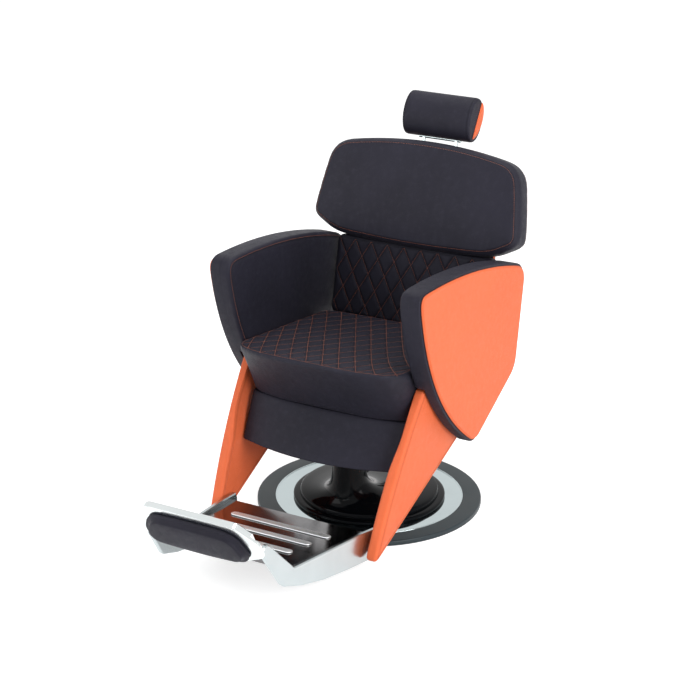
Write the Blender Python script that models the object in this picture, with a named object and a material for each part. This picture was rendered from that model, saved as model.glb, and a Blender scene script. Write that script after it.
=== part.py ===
"""Hydraulic barber chair, built as an assembly of separate pieces.

Metres, +Z up.  The origin is the centre of the round base on the floor, the sitter faces -Y
and the sitter's left is +X.  The chair stands at its lowest, with its back upright and the
calf pad of its footrest down in front.
"""
from math import cos, hypot, pi, radians, sin

import bmesh
import bpy
from mathutils import Vector

# ---------------------------------------------------------------- driving dimensions (metres)
GAP = 0.0003                    # between pieces that touch
RUNNING_GAP = 0.0004            # round a sliding or turning piece
SIDES = (("left", 1), ("right", -1))

# Round base, set back under the chair, and the column that stands forward of its centre
BASE_RADIUS = 0.340
BASE_PLATE_THICKNESS = 0.008
BASE_RING_WIDTH = 0.055
BASE_RING_HEIGHT = 0.0155
BASE_RING_WALL = 0.004
BASE_DISC_THICKNESS = 0.005
BASE_RIM_WIDTH = 0.004
DISC_SHOWN = 0.057              # bright disc outside the black cover
COVER_STEP = 0.018
COVER_WALL = 0.004
COLUMN_SETBACK = 0.103          # front edge of the cover to the column's axis
COLUMN_RADIUS = 0.050

# Pump, ram and swivel
PUMP_RADIUS = 0.038
PUMP_FLANGE_RADIUS = 0.068
PUMP_FLANGE_THICKNESS = 0.010
PUMP_BOLT_COUNT = 6
PUMP_BOLT_RADIUS = 0.007
RAM_RADIUS = 0.025
RAM_FOOT_Z = 0.030
SPIGOT_RADIUS = 0.018
GLAND_HEIGHT = 0.010
HUB_RADIUS = 0.042
HUB_HEIGHT = 0.060
SWIVEL_PLATE_SIDE = 0.180
SWIVEL_PLATE_THICKNESS = 0.008

# Foot lever of the pump
PEDAL_PIN_RADIUS = 0.005
PEDAL_PIN_RISE = 0.1155
PEDAL_PIN_REACH = 0.095         # from the column's axis to the lever's pin
PEDAL_EAR_THICKNESS = 0.006
PEDAL_LEVER_LENGTH = 0.128      # short, so that the legs turn past its end
PEDAL_LEVER_WIDTH = 0.018
PEDAL_LEVER_THICKNESS = 0.010
PEDAL_PAD_WIDTH = 0.080
PEDAL_PAD_LENGTH = 0.045
PEDAL_PAD_THICKNESS = 0.012
PEDAL_DROP = 0.0205             # pin to the middle of the lever under the pad

# Seat frame and pan
FRAME_Z = 0.351                 # underside of the seat frame, chair at its lowest
FRAME_TUBE = 0.025
FRAME_SIDE_SETBACK = 0.034      # side of the seat cushion to the frame's side
FRAME_FRONT_Y = -0.205
FRAME_REAR_Y = 0.180
PAN_THICKNESS = 0.012

# Seat cushion
SEAT_HALF_WIDTH = 0.2715
SEAT_REAR_Y = 0.203
SEAT_FRONT_CORNER_Y = -0.310    # top edge at the sides
SEAT_FRONT_BOW = 0.070          # how far the middle of the front stands forward
SEAT_FRONT_FULLNESS = 4         # 2 is a plain bow, more keeps the front full up to round corners
SEAT_FRONT_RAKE = 0.081         # how far the front face draws back to its lower edge
SEAT_FRONT_TOP_Z = 0.5585
SEAT_REAR_TOP_Z = 0.506
SEAT_CROWN = 0.005
CUSHION_EDGE = 0.016            # roll of a cushion's edge
QUILT_DEPTH = 0.0045
SEAT_DIAMONDS_ACROSS = 10
SEAT_DIAMONDS_ALONG = 5

# Arms: an upholstered body, thinner below its ledge, and an outer panel
ARM_SIDE_CLEARANCE = 0.0035     # seat cushion to arm
ARM_THICKNESS = 0.071
ARM_PANEL_THICKNESS = 0.012
ARM_RECESS = 0.031              # how much thinner the arm is below its ledge
ARM_EDGE = 0.011
ARM_PANEL_EDGE = 0.005
ARM_FRONT_TOP = (-0.343, 0.808)
ARM_REAR_TOP = (0.340, 0.709)
ARM_REAR_KNEE = (0.285, 0.396)
ARM_TIP = (0.016, 0.246)
ARM_TOP_BOW = 0.031
ARM_FRONT_BOW = 0.079
ARM_LEDGE_Y = -0.225
ARM_LEDGE_Z = 0.490
ARM_LEDGE_SLOPE = -0.20

# Upholstered side legs, which lean outwards as they rise
BLADE_THICKNESS = 0.034
BLADE_LEAN = 0.051
BLADE_EDGE = 0.010
BLADE_SIDE_GAP = 0.0045         # top of the leg to the arm's outer flap
BLADE_FRONT_TOP_Y = -0.2235
BLADE_TOE = (-0.472, 0.033)
BLADE_HEEL = (0.045, 0.266)
BLADE_REAR_TOP_Y = 0.075
BLADE_FRONT_BOW = 0.020
LEG_BRACKET_LENGTH = 0.150
LEG_BRACKET_HEIGHT = 0.060
LEG_BRACKET_WALL = 0.005
ARM_SPACER = ((-0.075, 0.335), (0.030, 0.415))      # corners of the wedge, as (y, z)

# Skirt under the seat, between the legs
SKIRT_SIDE_GAP = 0.0020
SKIRT_WALL = 0.010
SKIRT_BOTTOM = (-0.312, 0.258)
SKIRT_TOP_Y = -0.243
SKIRT_BOW_BOTTOM = 0.052
SKIRT_BOW_TOP = 0.024
SKIRT_RETURN = 0.060
SKIRT_CORNER = 0.016
SKIRT_BRACKET_HALF = 0.110

# Footrest: a tread between two cheeks that taper in plan
CHEEK_THICKNESS = 0.015
CHEEK_SIDE_GAP = 0.0075         # leg to the cheek's outer face at CHEEK_REAR_Y
CHEEK_REAR_Y = -0.431
CHEEK_TAPER = 0.0998
TREAD_Z = 0.118
TREAD_Y = -0.515
TREAD_SLOPE = 0.120
TREAD_FRONT_Y = -0.768
TREAD_BACK_Y = -0.412
TREAD_THICKNESS = 0.005
TREAD_LIP = 0.014
STRIP_WIDTH = 0.017
STRIP_HEIGHT = 0.003
STRIPS = ((-0.515, 0.163), (-0.597, 0.149), (-0.682, 0.140))    # middle and half length
BOSS_Y = -0.402
BOSS_Z = 0.098
BOSS_RADIUS = 0.012

# Calf pad that folds back over the tread
FLIP_AXIS_Y = -0.894
FLIP_AXIS_Z = 0.245
FLIP_LEAN = radians(27.9)
FLIP_PIN_RADIUS = 0.005
NOSE_RADIUS = 0.018
FLIP_AXIS_DEPTH = 0.028         # frame's front face to the hinge axis
FLIP_AXIS_RISE = 0.029          # pad's lower corners to the hinge axis
FLIP_DEPTH = 0.021
FLIP_WEB = 0.006
FLIP_BAR = 0.017
FLIP_LUG_WIDTH = 0.022
FLIP_LUG_RADIUS = 0.013
FLIP_SHOULDER_OVERHANG = 0.0092 # shoulder past the cheek's outer face
FLIP_SHOULDER_RISE = 0.088
FLIP_TOP_SETBACK = 0.065        # top corner in from the shoulder
FLIP_FOOT_SETBACK = 0.073
FLIP_HEIGHT = 0.140
CALF_PAD_THICKNESS = 0.024
CALF_PAD_EDGE = 0.009
CALF_PAD_CROWN = 0.004
CALF_PAD_TOP_SETBACK = 0.006    # pad's top corner in from the frame's
CALF_PAD_FLARE = 0.028          # pad's widest point out from the frame's top corner
CALF_PAD_RISES = (0.003, 0.042, 0.118)          # foot, widest point and top

# Backrest: one slope behind the upper cushion and a steeper one behind the lower cushion
PIVOT_Y = 0.235
PIVOT_Z = 0.425
AXLE_RADIUS = 0.011
LOWER_BACK_Y = 0.219            # front of the lower cushion at LOWER_BACK_Z
LOWER_BACK_Z = 0.502
LOWER_BACK_SLOPE = 0.200
LOWER_BACK_SETBACK = 0.0035     # narrower than the seat cushion, each side
LOWER_BACK_FOOT_Z = 0.487
LOWER_BACK_HEAD_Z = 0.721
LOWER_BACK_THICKNESS = 0.052
LOWER_BACK_CROWN = 0.009
BACK_DIAMONDS_ACROSS = 10
BACK_DIAMONDS_ALONG = 3
WING_Y = 0.253                  # front face of the upper cushion at WING_Z
WING_Z = 0.808
WING_SLOPE = 0.322
WING_THICKNESS = 0.081
WING_LOWER_PROUD = 0.004        # lower corner past the arm's outer face
WING_LOWER_RISE = -0.056
WING_UPPER_SETBACK = 0.034      # upper corner in from the lower one
WING_UPPER_RISE = 0.213
WING_TOP_BOW = 0.037
WING_BOTTOM_BOW = 0.0185
WING_SIDE_BOW = 0.006
WING_EDGE = 0.014
WING_CROWN = 0.010
BOARD_THICKNESS = 0.012
BOARD_INSET = 0.022
UPRIGHT_DEPTH = 0.020
UPRIGHT_WIDTH = 0.025
UPRIGHT_TOP_Z = 0.960
CROSSBAR_HEIGHT = 0.028
CROSSBAR_Z = (0.545, 0.690)
SPINE_LEVELS = (0.60, 0.722, 0.742, 0.752, 0.765, 0.86)
COVER_SHELL_WALL = 0.005
COVER_CORNER = 0.018
COVER_LEVELS = ((0.500, -0.016), (0.520, -0.006), (0.600, 0.0), (0.690, 0.002), (0.722, 0.020),
                (0.750, 0.029), (0.800, 0.032), (0.860, 0.031), (0.920, 0.022), (0.965, 0.004),
                (0.992, -0.018))        # height, and how much wider than the lower cushion

# Recline strut, its lever and the handle that frees it
EAR_THICKNESS = 0.007
EAR_SIDE_GAP = 0.001
STRUT_X = 0.112
STRUT_LEVER = 0.105
RECLINE_LIMIT = radians(50)
STRUT_RADIUS = 0.011
STRUT_FRONT_Y = -0.056
STRUT_LENGTH = 0.190
ROD_RADIUS = 0.005
ROD_EYE_THICKNESS = 0.006
ROD_EYE_RADIUS = 0.015
ROD_EYE_SLOT = 0.010            # half height of the eye's slot
ROD_EYE_NECK = 0.009            # how much further the eye reaches to its bar
ROD_PIN_RADIUS = 0.004
FORK_THICKNESS = 0.004
HANDLE_Y = 0.105
HANDLE_Z = 0.322
HANDLE_SHAFT_RADIUS = 0.006
HANDLE_OUT = 0.0535             # handle's middle out from the frame's side
HANDLE_LENGTH = 0.110
HANDLE_DROP = 0.028
KNOB_RADIUS = 0.013

# Headrest
ROLL_HALF_LENGTH = 0.110
ROLL_HALF_HEIGHT = 0.066
ROLL_HALF_DEPTH = 0.046
ROLL_LEAN = radians(21)
ROLL_EDGE = 0.010
CAP_THICKNESS = 0.006
BAR_RADIUS = 0.006
BAR_HALF_LENGTH = 0.070
ROLL_FORWARD = 0.0125           # how far the roll's long axis passes in front of the bar
POST_RADIUS = 0.006
POST_SPACING = 0.110
POST_LENGTH = 0.240
POST_DEPTH = 0.0100             # behind the board's rear face
BAR_Z = 1.030
GUIDE_LENGTH = 0.120
GUIDE_TOP_Z = 0.985
GUIDE_WIDTH = 0.150

TURNED_SIDES = 40               # facets round a large turned piece
SMALL_SIDES = 16                # facets round a small one

# ---------------------------------------------------------------- places worked out from them
PLATE_TOP = BASE_PLATE_THICKNESS
DISC_TOP = PLATE_TOP + GAP + BASE_DISC_THICKNESS
DISC_RADIUS = BASE_RADIUS - BASE_RING_WIDTH
COVER_RADIUS = DISC_RADIUS - DISC_SHOWN
COLUMN_Y = COLUMN_SETBACK - COVER_RADIUS
FRAME_HALF_WIDTH = SEAT_HALF_WIDTH - FRAME_SIDE_SETBACK
COVER_FOOT = DISC_TOP + GAP
HUB_TOP = FRAME_Z - GAP
HUB_BOTTOM = HUB_TOP - SWIVEL_PLATE_THICKNESS - HUB_HEIGHT
PUMP_TOP = HUB_BOTTOM - 0.012
COLUMN_TOP = PUMP_TOP - GLAND_HEIGHT - 0.012
PEDAL_PIN_Y = COLUMN_Y + PEDAL_PIN_REACH
PAN_Z = FRAME_Z + FRAME_TUBE + GAP
CUSHION_Z = PAN_Z + PAN_THICKNESS + GAP
ARM_INNER_X = SEAT_HALF_WIDTH + ARM_SIDE_CLEARANCE
ARM_OUTER_X = ARM_INNER_X + ARM_THICKNESS
ARM_FLAP_X = ARM_INNER_X + ARM_RECESS
ARM_BODY_X = ARM_OUTER_X - ARM_PANEL_THICKNESS - GAP
BLADE_OUTER_X = ARM_FLAP_X - BLADE_SIDE_GAP
CHEEK_OUTER_X = (BLADE_OUTER_X - BLADE_THICKNESS - BLADE_LEAN * (ARM_LEDGE_Z - BOSS_Z)
                 - CHEEK_SIDE_GAP)
FLIP_SHOULDER_HALF = (CHEEK_OUTER_X + CHEEK_TAPER * (FLIP_AXIS_Y - CHEEK_REAR_Y)
                      + FLIP_SHOULDER_OVERHANG)
FLIP_TOP_HALF = FLIP_SHOULDER_HALF - FLIP_TOP_SETBACK
FLIP_FOOT_HALF = FLIP_SHOULDER_HALF - FLIP_FOOT_SETBACK
LOWER_BACK_HALF_WIDTH = SEAT_HALF_WIDTH - LOWER_BACK_SETBACK
WING_LOWER_CORNER = (ARM_OUTER_X + WING_LOWER_PROUD, WING_LOWER_RISE)
WING_UPPER_CORNER = (WING_LOWER_CORNER[0] - WING_UPPER_SETBACK, WING_UPPER_RISE)
HANDLE_X = FRAME_HALF_WIDTH + HANDLE_OUT
WING_TILT = hypot(WING_SLOPE, 1.0)
WING_UP = Vector((0, WING_SLOPE, 1)) / WING_TILT
WING_BACK = Vector((0, 1, -WING_SLOPE)) / WING_TILT
BACK_TILT = hypot(LOWER_BACK_SLOPE, 1.0)
BACK_UP = Vector((0, LOWER_BACK_SLOPE, 1)) / BACK_TILT
BACK_FRONT = Vector((0, -1, LOWER_BACK_SLOPE)) / BACK_TILT
FLIP_UP = Vector((0, -sin(FLIP_LEAN), cos(FLIP_LEAN)))
FLIP_FRONT = Vector((0, -cos(FLIP_LEAN), -sin(FLIP_LEAN)))
EAR_X = FRAME_HALF_WIDTH - UPRIGHT_WIDTH - EAR_SIDE_GAP - EAR_THICKNESS
STRUT_Z = PIVOT_Z - STRUT_LEVER * (1 + cos(RECLINE_LIMIT / 2)) / 2
ROD_PIN_Y = PIVOT_Y + STRUT_LEVER * sin(RECLINE_LIMIT / 2)
ROD_PIN_Z = PIVOT_Z - STRUT_LEVER * cos(RECLINE_LIMIT / 2)
BOARD_DEPTH = WING_THICKNESS + GAP + BOARD_THICKNESS


def wing_point(across, rise, depth):
    """A place in the upper cushion's own axes: across, up its slope and back from its front."""
    return Vector((across, WING_Y, WING_Z)) + WING_UP * rise + WING_BACK * depth


def back_point(across, rise, forward):
    """A place in the lower cushion's axes, measured from its front face at its foot."""
    foot = Vector((0, LOWER_BACK_Y + LOWER_BACK_SLOPE * (LOWER_BACK_FOOT_Z - LOWER_BACK_Z),
                   LOWER_BACK_FOOT_Z))
    return foot + Vector((across, 0, 0)) + BACK_UP * rise + BACK_FRONT * forward


def flip_point(across, rise, forward):
    """A place on the calf pad's frame: up from the pad's lower corners, out of its front face."""
    axis = Vector((0, FLIP_AXIS_Y, FLIP_AXIS_Z))
    corner = axis - FLIP_UP * FLIP_AXIS_RISE + FLIP_FRONT * FLIP_AXIS_DEPTH
    return corner + Vector((across, 0, 0)) + FLIP_UP * rise + FLIP_FRONT * forward


def blade_inner(z):
    """How far the inner face of a side leg stands from the middle at a height."""
    return BLADE_OUTER_X - BLADE_THICKNESS - BLADE_LEAN * (ARM_LEDGE_Z - z)


def cheek_outer(y):
    """How far the outer face of a footrest cheek stands from the middle."""
    return CHEEK_OUTER_X + CHEEK_TAPER * (y - CHEEK_REAR_Y)


def tread_top(y):
    """Height of the tread's upper face, which rises to the front."""
    return TREAD_Z + TREAD_SLOPE * (TREAD_Y - y)


def ledge_z(y):
    """Height of the ledge under the thick part of an arm."""
    return ARM_LEDGE_Z + ARM_LEDGE_SLOPE * (y - ARM_LEDGE_Y)


# ---------------------------------------------------------------- scene, bodies and materials
for old in list(bpy.data.objects):
    bpy.data.objects.remove(old, do_unlink=True)

BODY_ORIGINS = {
    "base": (0, 0, 0),
    "pump_pedal": (0, PEDAL_PIN_Y, PEDAL_PIN_RISE),
    "lift": (0, COLUMN_Y, HUB_BOTTOM),
    "seat": (0, COLUMN_Y, HUB_BOTTOM),
    "back": (0, PIVOT_Y, PIVOT_Z),
    "strut_rod": (STRUT_X, ROD_PIN_Y, STRUT_Z),
    "recline_handle": (-HANDLE_X, HANDLE_Y, HANDLE_Z),
    "headrest": (0, 0, BAR_Z),
    "headrest_roll": (0, 0, BAR_Z),
    "calf_pad": (0, FLIP_AXIS_Y, FLIP_AXIS_Z),
}
BAR_POINT = wing_point(0, 0, BOARD_DEPTH + POST_DEPTH)
BAR_POINT += WING_UP * ((BAR_Z - BAR_POINT.z) / WING_UP.z)
BODY_ORIGINS["headrest"] = BAR_POINT
BODY_ORIGINS["headrest_roll"] = BAR_POINT

empties = {}
for body, place in BODY_ORIGINS.items():
    empty = bpy.data.objects.new(body + "_axis", None)
    empty.location = place
    bpy.context.scene.collection.objects.link(empty)
    empties[body] = empty


def make_material(name, colour, roughness, metallic=0.0):
    """A Principled material of one colour."""
    made = bpy.data.materials.new(name)
    made.use_nodes = True
    made.diffuse_color = (*colour, 1)
    shader = made.node_tree.nodes["Principled BSDF"]
    shader.inputs["Base Color"].default_value = (*colour, 1)
    shader.inputs["Roughness"].default_value = roughness
    shader.inputs["Metallic"].default_value = metallic
    return made


DARK_LEATHER = make_material("dark_leather", (0.045, 0.043, 0.055), 0.55)
ORANGE_LEATHER = make_material("orange_leather", (0.95, 0.25, 0.11), 0.55)
CHROME = make_material("chrome", (0.80, 0.82, 0.82), 0.08, 1.0)
POLISHED = make_material("polished_aluminium", (0.82, 0.84, 0.84), 0.12, 1.0)
GLOSS_BLACK = make_material("gloss_black", (0.008, 0.008, 0.010), 0.08)
RING_PAINT = make_material("ring_paint", (0.055, 0.085, 0.10), 0.45)
CAST_IRON = make_material("cast_iron", (0.05, 0.05, 0.055), 0.7, 0.6)
STEEL = make_material("frame_steel", (0.03, 0.03, 0.033), 0.45, 0.3)
BRIGHT_STEEL = make_material("bright_steel", (0.60, 0.60, 0.60), 0.3, 1.0)
PLYWOOD = make_material("plywood", (0.45, 0.30, 0.17), 0.7)
RUBBER = make_material("rubber", (0.015, 0.015, 0.015), 0.85)
PLASTIC = make_material("black_plastic", (0.02, 0.02, 0.022), 0.5)


# ---------------------------------------------------------------- modelling helpers
def loft(rings, closed=False):
    """Vertices and faces through rings of equal count; the ends are capped, or joined if closed."""
    count = len(rings[0])
    points = [Vector(point) for ring in rings for point in ring]
    faces = []
    last = len(rings) if closed else len(rings) - 1
    for row in range(last):
        here = row * count
        there = ((row + 1) % len(rings)) * count
        for i in range(count):
            j = (i + 1) % count
            faces.append((here + i, here + j, there + j, there + i))
    if not closed:
        faces.append(tuple(range(count))[::-1])
        faces.append(tuple(range((len(rings) - 1) * count, len(rings) * count)))
    return points, faces


def merge(*shapes):
    """Several shapes as one list of vertices and faces, still separate solids."""
    points = []
    faces = []
    for shape_points, shape_faces in shapes:
        start = len(points)
        points += shape_points
        faces += [tuple(start + i for i in face) for face in shape_faces]
    return points, faces


def box(low, high):
    """A box between two corners."""
    corners = [(low[0], low[1]), (high[0], low[1]), (high[0], high[1]), (low[0], high[1])]
    return loft([[(x, y, z) for x, y in corners] for z in (low[2], high[2])])


def turned(profile, centre=(0, 0), sides=TURNED_SIDES, closed=False):
    """A piece turned about a vertical axis from (radius, height) pairs."""
    rings = []
    for radius, height in profile:
        rings.append([(centre[0] + radius * cos(2 * pi * i / sides),
                       centre[1] + radius * sin(2 * pi * i / sides), height)
                      for i in range(sides)])
    return loft(rings, closed)


def rod(start, end, radius, sides=SMALL_SIDES):
    """A round bar between two points."""
    start = Vector(start)
    end = Vector(end)
    along = (end - start).normalized()
    side = along.orthogonal().normalized()
    other = along.cross(side)
    rings = []
    for middle in (start, end):
        rings.append([middle + side * (radius * cos(2 * pi * i / sides))
                      + other * (radius * sin(2 * pi * i / sides)) for i in range(sides)])
    return loft(rings)


def bowed_outline(corners, bows, setbacks, edge_steps=4, corner_steps=3):
    """A closed outline in two dimensions.

    corners run anticlockwise; bows[i] is how far the edge from corner i to the next one stands
    outwards in its middle, as a parabola; setbacks[i] is how far along its edges corner i is
    rounded off, by a quadratic curve through the corner.
    """
    count = len(corners)
    edges = []
    for i in range(count):
        ax, ay = corners[i]
        bx, by = corners[(i + 1) % count]
        length = hypot(bx - ax, by - ay)
        normal = ((by - ay) / length, -(bx - ax) / length)

        def edge_point(share, ax=ax, ay=ay, bx=bx, by=by, normal=normal, bow=bows[i]):
            lift = 4 * bow * share * (1 - share)
            return (ax + (bx - ax) * share + normal[0] * lift,
                    ay + (by - ay) * share + normal[1] * lift)
        edges.append((edge_point, length))
    outline = []
    for i in range(count):
        point_before, length_before = edges[i - 1]
        point_after, length_after = edges[i]
        start = point_before(1 - setbacks[i] / length_before)
        end = point_after(setbacks[i] / length_after)
        corner = corners[i]
        for step in range(corner_steps + 1):
            t = step / corner_steps
            outline.append(tuple((1 - t) ** 2 * s + 2 * t * (1 - t) * c + t ** 2 * e
                                 for s, c, e in zip(start, corner, end)))
        first = setbacks[i] / length_after
        last = 1 - setbacks[(i + 1) % count] / length_after
        steps = edge_steps if abs(bows[i]) > 0.004 else 1
        for step in range(1, steps):
            outline.append(point_after(first + (last - first) * step / steps))
    return outline


def inset(outline, distance):
    """The outline moved inwards, each corner along the mean of its two edges' normals."""
    count = len(outline)
    moved = []
    for i in range(count):
        ax, ay = outline[i - 1]
        bx, by = outline[i]
        cx, cy = outline[(i + 1) % count]
        first = Vector((-(by - ay), bx - ax)).normalized()
        second = Vector((-(cy - by), cx - bx)).normalized()
        mean = (first + second).normalized()
        reach = distance / max(0.5, mean.dot(first))
        moved.append((bx + mean.x * reach, by + mean.y * reach))
    return moved


def plate(outline, place, profile):
    """A plate lofted through the outline; profile holds (inset, depth) pairs, back to front."""
    rings = []
    for distance, depth in profile:
        rings.append([place(u, v, depth) for u, v in inset(outline, distance)])
    return loft(rings)


def crowned(outline, place, profile, crown, centre, steps=2):
    """A plate whose last face swells: rings shrink towards the centre and rise as a dome."""
    rings = [[place(u, v, depth) for u, v in inset(outline, distance)]
             for distance, depth in profile]
    distance, depth = profile[-1]
    edge = inset(outline, distance)
    for step in range(1, steps + 1):
        share = step / (steps + 0.6)
        lift = crown * (1 - (1 - share) ** 2)
        rings.append([place(u + (centre[0] - u) * share, v + (centre[1] - v) * share, depth + lift)
                      for u, v in edge])
    points, faces = loft(rings)
    top = faces.pop()
    peak = len(points)
    points.append(Vector(place(centre[0], centre[1], depth + crown)))
    for i, corner in enumerate(top):
        faces.append((corner, top[(i + 1) % len(top)], peak))
    return points, faces


def add(name, body, material, shape, smooth_angle=35):
    """An object from vertices and faces, with its origin on its body's joint axis."""
    points, faces = shape
    origin = Vector(BODY_ORIGINS[body])
    mesh = bpy.data.meshes.new(name)
    mesh.from_pydata([Vector(point) - origin for point in points], [], faces)
    work = bmesh.new()
    work.from_mesh(mesh)
    bmesh.ops.recalc_face_normals(work, faces=work.faces)
    work.to_mesh(mesh)
    work.free()
    mesh.materials.append(material)
    mesh.shade_smooth()
    mesh.set_sharp_from_angle(angle=radians(smooth_angle))
    made = bpy.data.objects.new(name, mesh)
    made.parent = empties[body]
    bpy.context.scene.collection.objects.link(made)
    return made


def cut_or_join(target, tool_name, body, shape, operation="DIFFERENCE"):
    """A Boolean modifier on target, with a wire-drawn tool that isn't part of the chair."""
    tool = add(tool_name, body, STEEL, shape)
    tool.hide_render = True
    tool.display_type = "WIRE"
    step = target.modifiers.new(tool_name, "BOOLEAN")
    step.operation = operation
    step.solver = "EXACT"
    step.object = tool


# ---------------------------------------------------------------- base, pump and foot lever
def make_base():
    """Floor plate, painted ring, bright disc and the black cover with its column."""
    ring_inner = DISC_RADIUS + GAP
    plate_radius = BASE_RADIUS - BASE_RING_WALL - GAP
    add("base_plate", "base", CAST_IRON, turned([(plate_radius, 0), (plate_radius, PLATE_TOP)]))
    soft = BASE_RING_HEIGHT * 0.3
    add("base_ring", "base", RING_PAINT, turned([
        (plate_radius + GAP, 0), (BASE_RADIUS - 0.001, 0), (BASE_RADIUS, 0.001),
        (BASE_RADIUS, BASE_RING_HEIGHT - soft), (BASE_RADIUS - 0.3 * soft, BASE_RING_HEIGHT - 0.3 * soft),
        (BASE_RADIUS - soft, BASE_RING_HEIGHT), (ring_inner, BASE_RING_HEIGHT),
        (ring_inner, PLATE_TOP + GAP), (plate_radius + GAP, PLATE_TOP + GAP)], closed=True))
    inner = COVER_RADIUS - 4 * COVER_WALL
    rim = BASE_RING_HEIGHT + 0.001
    add("base_disc", "base", CHROME, turned([
        (inner, PLATE_TOP + GAP), (DISC_RADIUS, PLATE_TOP + GAP), (DISC_RADIUS, rim - 0.001),
        (DISC_RADIUS - 0.3 * BASE_RIM_WIDTH, rim), (DISC_RADIUS - 0.7 * BASE_RIM_WIDTH, rim),
        (DISC_RADIUS - BASE_RIM_WIDTH, DISC_TOP), (inner, DISC_TOP)], closed=True))


def cover_levels():
    """Outside of the base cover as (radius, height, share of the way forward to the column)."""
    foot = COVER_FOOT
    dome = COVER_RADIUS - COVER_STEP
    neck = COLUMN_RADIUS
    span = dome - 0.010 - neck
    levels = [(COVER_RADIUS, foot, 0), (COVER_RADIUS + 0.002, foot + 0.006, 0),
              (COVER_RADIUS - 0.001, foot + 0.011, 0), (dome + 0.001, foot + 0.0135, 0),
              (dome, foot + 0.020, 0), (dome - 0.003, foot + 0.0255, 0), (dome - 0.010, foot + 0.029, 0)]
    for share, rise in ((0.30, 0.037), (0.60, 0.048), (0.79, 0.062), (0.91, 0.082), (0.975, 0.108)):
        levels.append((neck + span * (1 - share), foot + rise, share))
    levels += [(neck, foot + 0.140, 1), (neck, COLUMN_TOP, 1)]
    return levels


def make_cover():
    """Shell lofted through circles that shrink and slide forward as they rise."""
    outside = cover_levels()
    inside = [(radius - COVER_WALL, height - (COVER_WALL if i > 2 else 0), share)
              for i, (radius, height, share) in enumerate(outside) if i not in (1, 2, 4, 5)]
    inside[-1] = (inside[-1][0], COLUMN_TOP, 1)
    rings = []
    for radius, height, share in outside + inside[::-1]:
        rings.append([(radius * cos(2 * pi * i / TURNED_SIDES),
                       COLUMN_Y * share + radius * sin(2 * pi * i / TURNED_SIDES), height)
                      for i in range(TURNED_SIDES)])
    cover = add("base_cover", "base", GLOSS_BLACK, loft(rings, closed=True))
    slot_half = PEDAL_LEVER_WIDTH / 2 + PEDAL_EAR_THICKNESS + 0.003
    cut_or_join(cover, "pedal_slot_tool", "base",
                box((-slot_half, COLUMN_Y + PUMP_RADIUS, PEDAL_PIN_RISE - 0.017),
                    (slot_half, PEDAL_PIN_Y + 0.016, PEDAL_PIN_RISE + 0.020)))


def make_pump():
    """Pump cylinder with its flange and lever ears, the gland round the ram, and the bolts."""
    centre = (0, COLUMN_Y)
    bore = RAM_RADIUS + RUNNING_GAP
    foot = PLATE_TOP + GAP
    flange = foot + PUMP_FLANGE_THICKNESS
    top = PUMP_TOP - GLAND_HEIGHT - GAP
    pump = add("pump_cylinder", "base", STEEL, turned([
        (PUMP_FLANGE_RADIUS, foot), (PUMP_FLANGE_RADIUS, flange), (PUMP_RADIUS, flange),
        (PUMP_RADIUS, top), (bore, top), (bore, RAM_FOOT_Z - 0.004)], centre, 32))
    ear_inner = PEDAL_LEVER_WIDTH / 2 + RUNNING_GAP
    ears = []
    for _, side in SIDES:
        outline = bowed_outline(
            [(COLUMN_Y + PUMP_RADIUS - 0.006, PEDAL_PIN_RISE - 0.013),
             (PEDAL_PIN_Y + 0.013, PEDAL_PIN_RISE - 0.013),
             (PEDAL_PIN_Y + 0.013, PEDAL_PIN_RISE + 0.013),
             (COLUMN_Y + PUMP_RADIUS - 0.006, PEDAL_PIN_RISE + 0.013)],
            (0, 0, 0, 0), (0.001, 0.011, 0.011, 0.001))
        ears.append(plate(outline, lambda u, v, w, side=side: Vector((side * w, u, v)),
                          [(0, ear_inner), (0, ear_inner + PEDAL_EAR_THICKNESS)]))
    cut_or_join(pump, "pedal_ears_tool", "base", merge(*ears), "UNION")
    reach = ear_inner + PEDAL_EAR_THICKNESS + 0.004
    cut_or_join(pump, "pedal_bore_tool", "base",
                rod((-reach, PEDAL_PIN_Y, PEDAL_PIN_RISE), (reach, PEDAL_PIN_Y, PEDAL_PIN_RISE),
                    PEDAL_PIN_RADIUS + RUNNING_GAP))
    add("pump_gland", "base", BRIGHT_STEEL, turned([
        (bore, top + GAP), (PUMP_RADIUS - 0.002, top + GAP), (PUMP_RADIUS - 0.002, PUMP_TOP - 0.003),
        (PUMP_RADIUS - 0.006, PUMP_TOP), (bore, PUMP_TOP)], centre, 32, closed=True))
    circle = (PUMP_RADIUS + PUMP_FLANGE_RADIUS) / 2
    washer = 0.004
    clamp = add("pump_clamp", "base", BRIGHT_STEEL, turned([
        (PUMP_RADIUS + GAP, flange + GAP), (PUMP_FLANGE_RADIUS - 0.004, flange + GAP),
        (PUMP_FLANGE_RADIUS - 0.004, flange + washer), (PUMP_RADIUS + GAP, flange + washer)],
        centre, 32, closed=True))
    heads = []
    for i in range(PUMP_BOLT_COUNT):
        angle = 2 * pi * (i + 0.5) / PUMP_BOLT_COUNT
        heads.append(turned([(PUMP_BOLT_RADIUS, flange + washer / 2), (PUMP_BOLT_RADIUS, flange + 0.010)],
                            (circle * cos(angle), COLUMN_Y + circle * sin(angle)), 6))
    cut_or_join(clamp, "clamp_heads_tool", "base", merge(*heads), "UNION")


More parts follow.
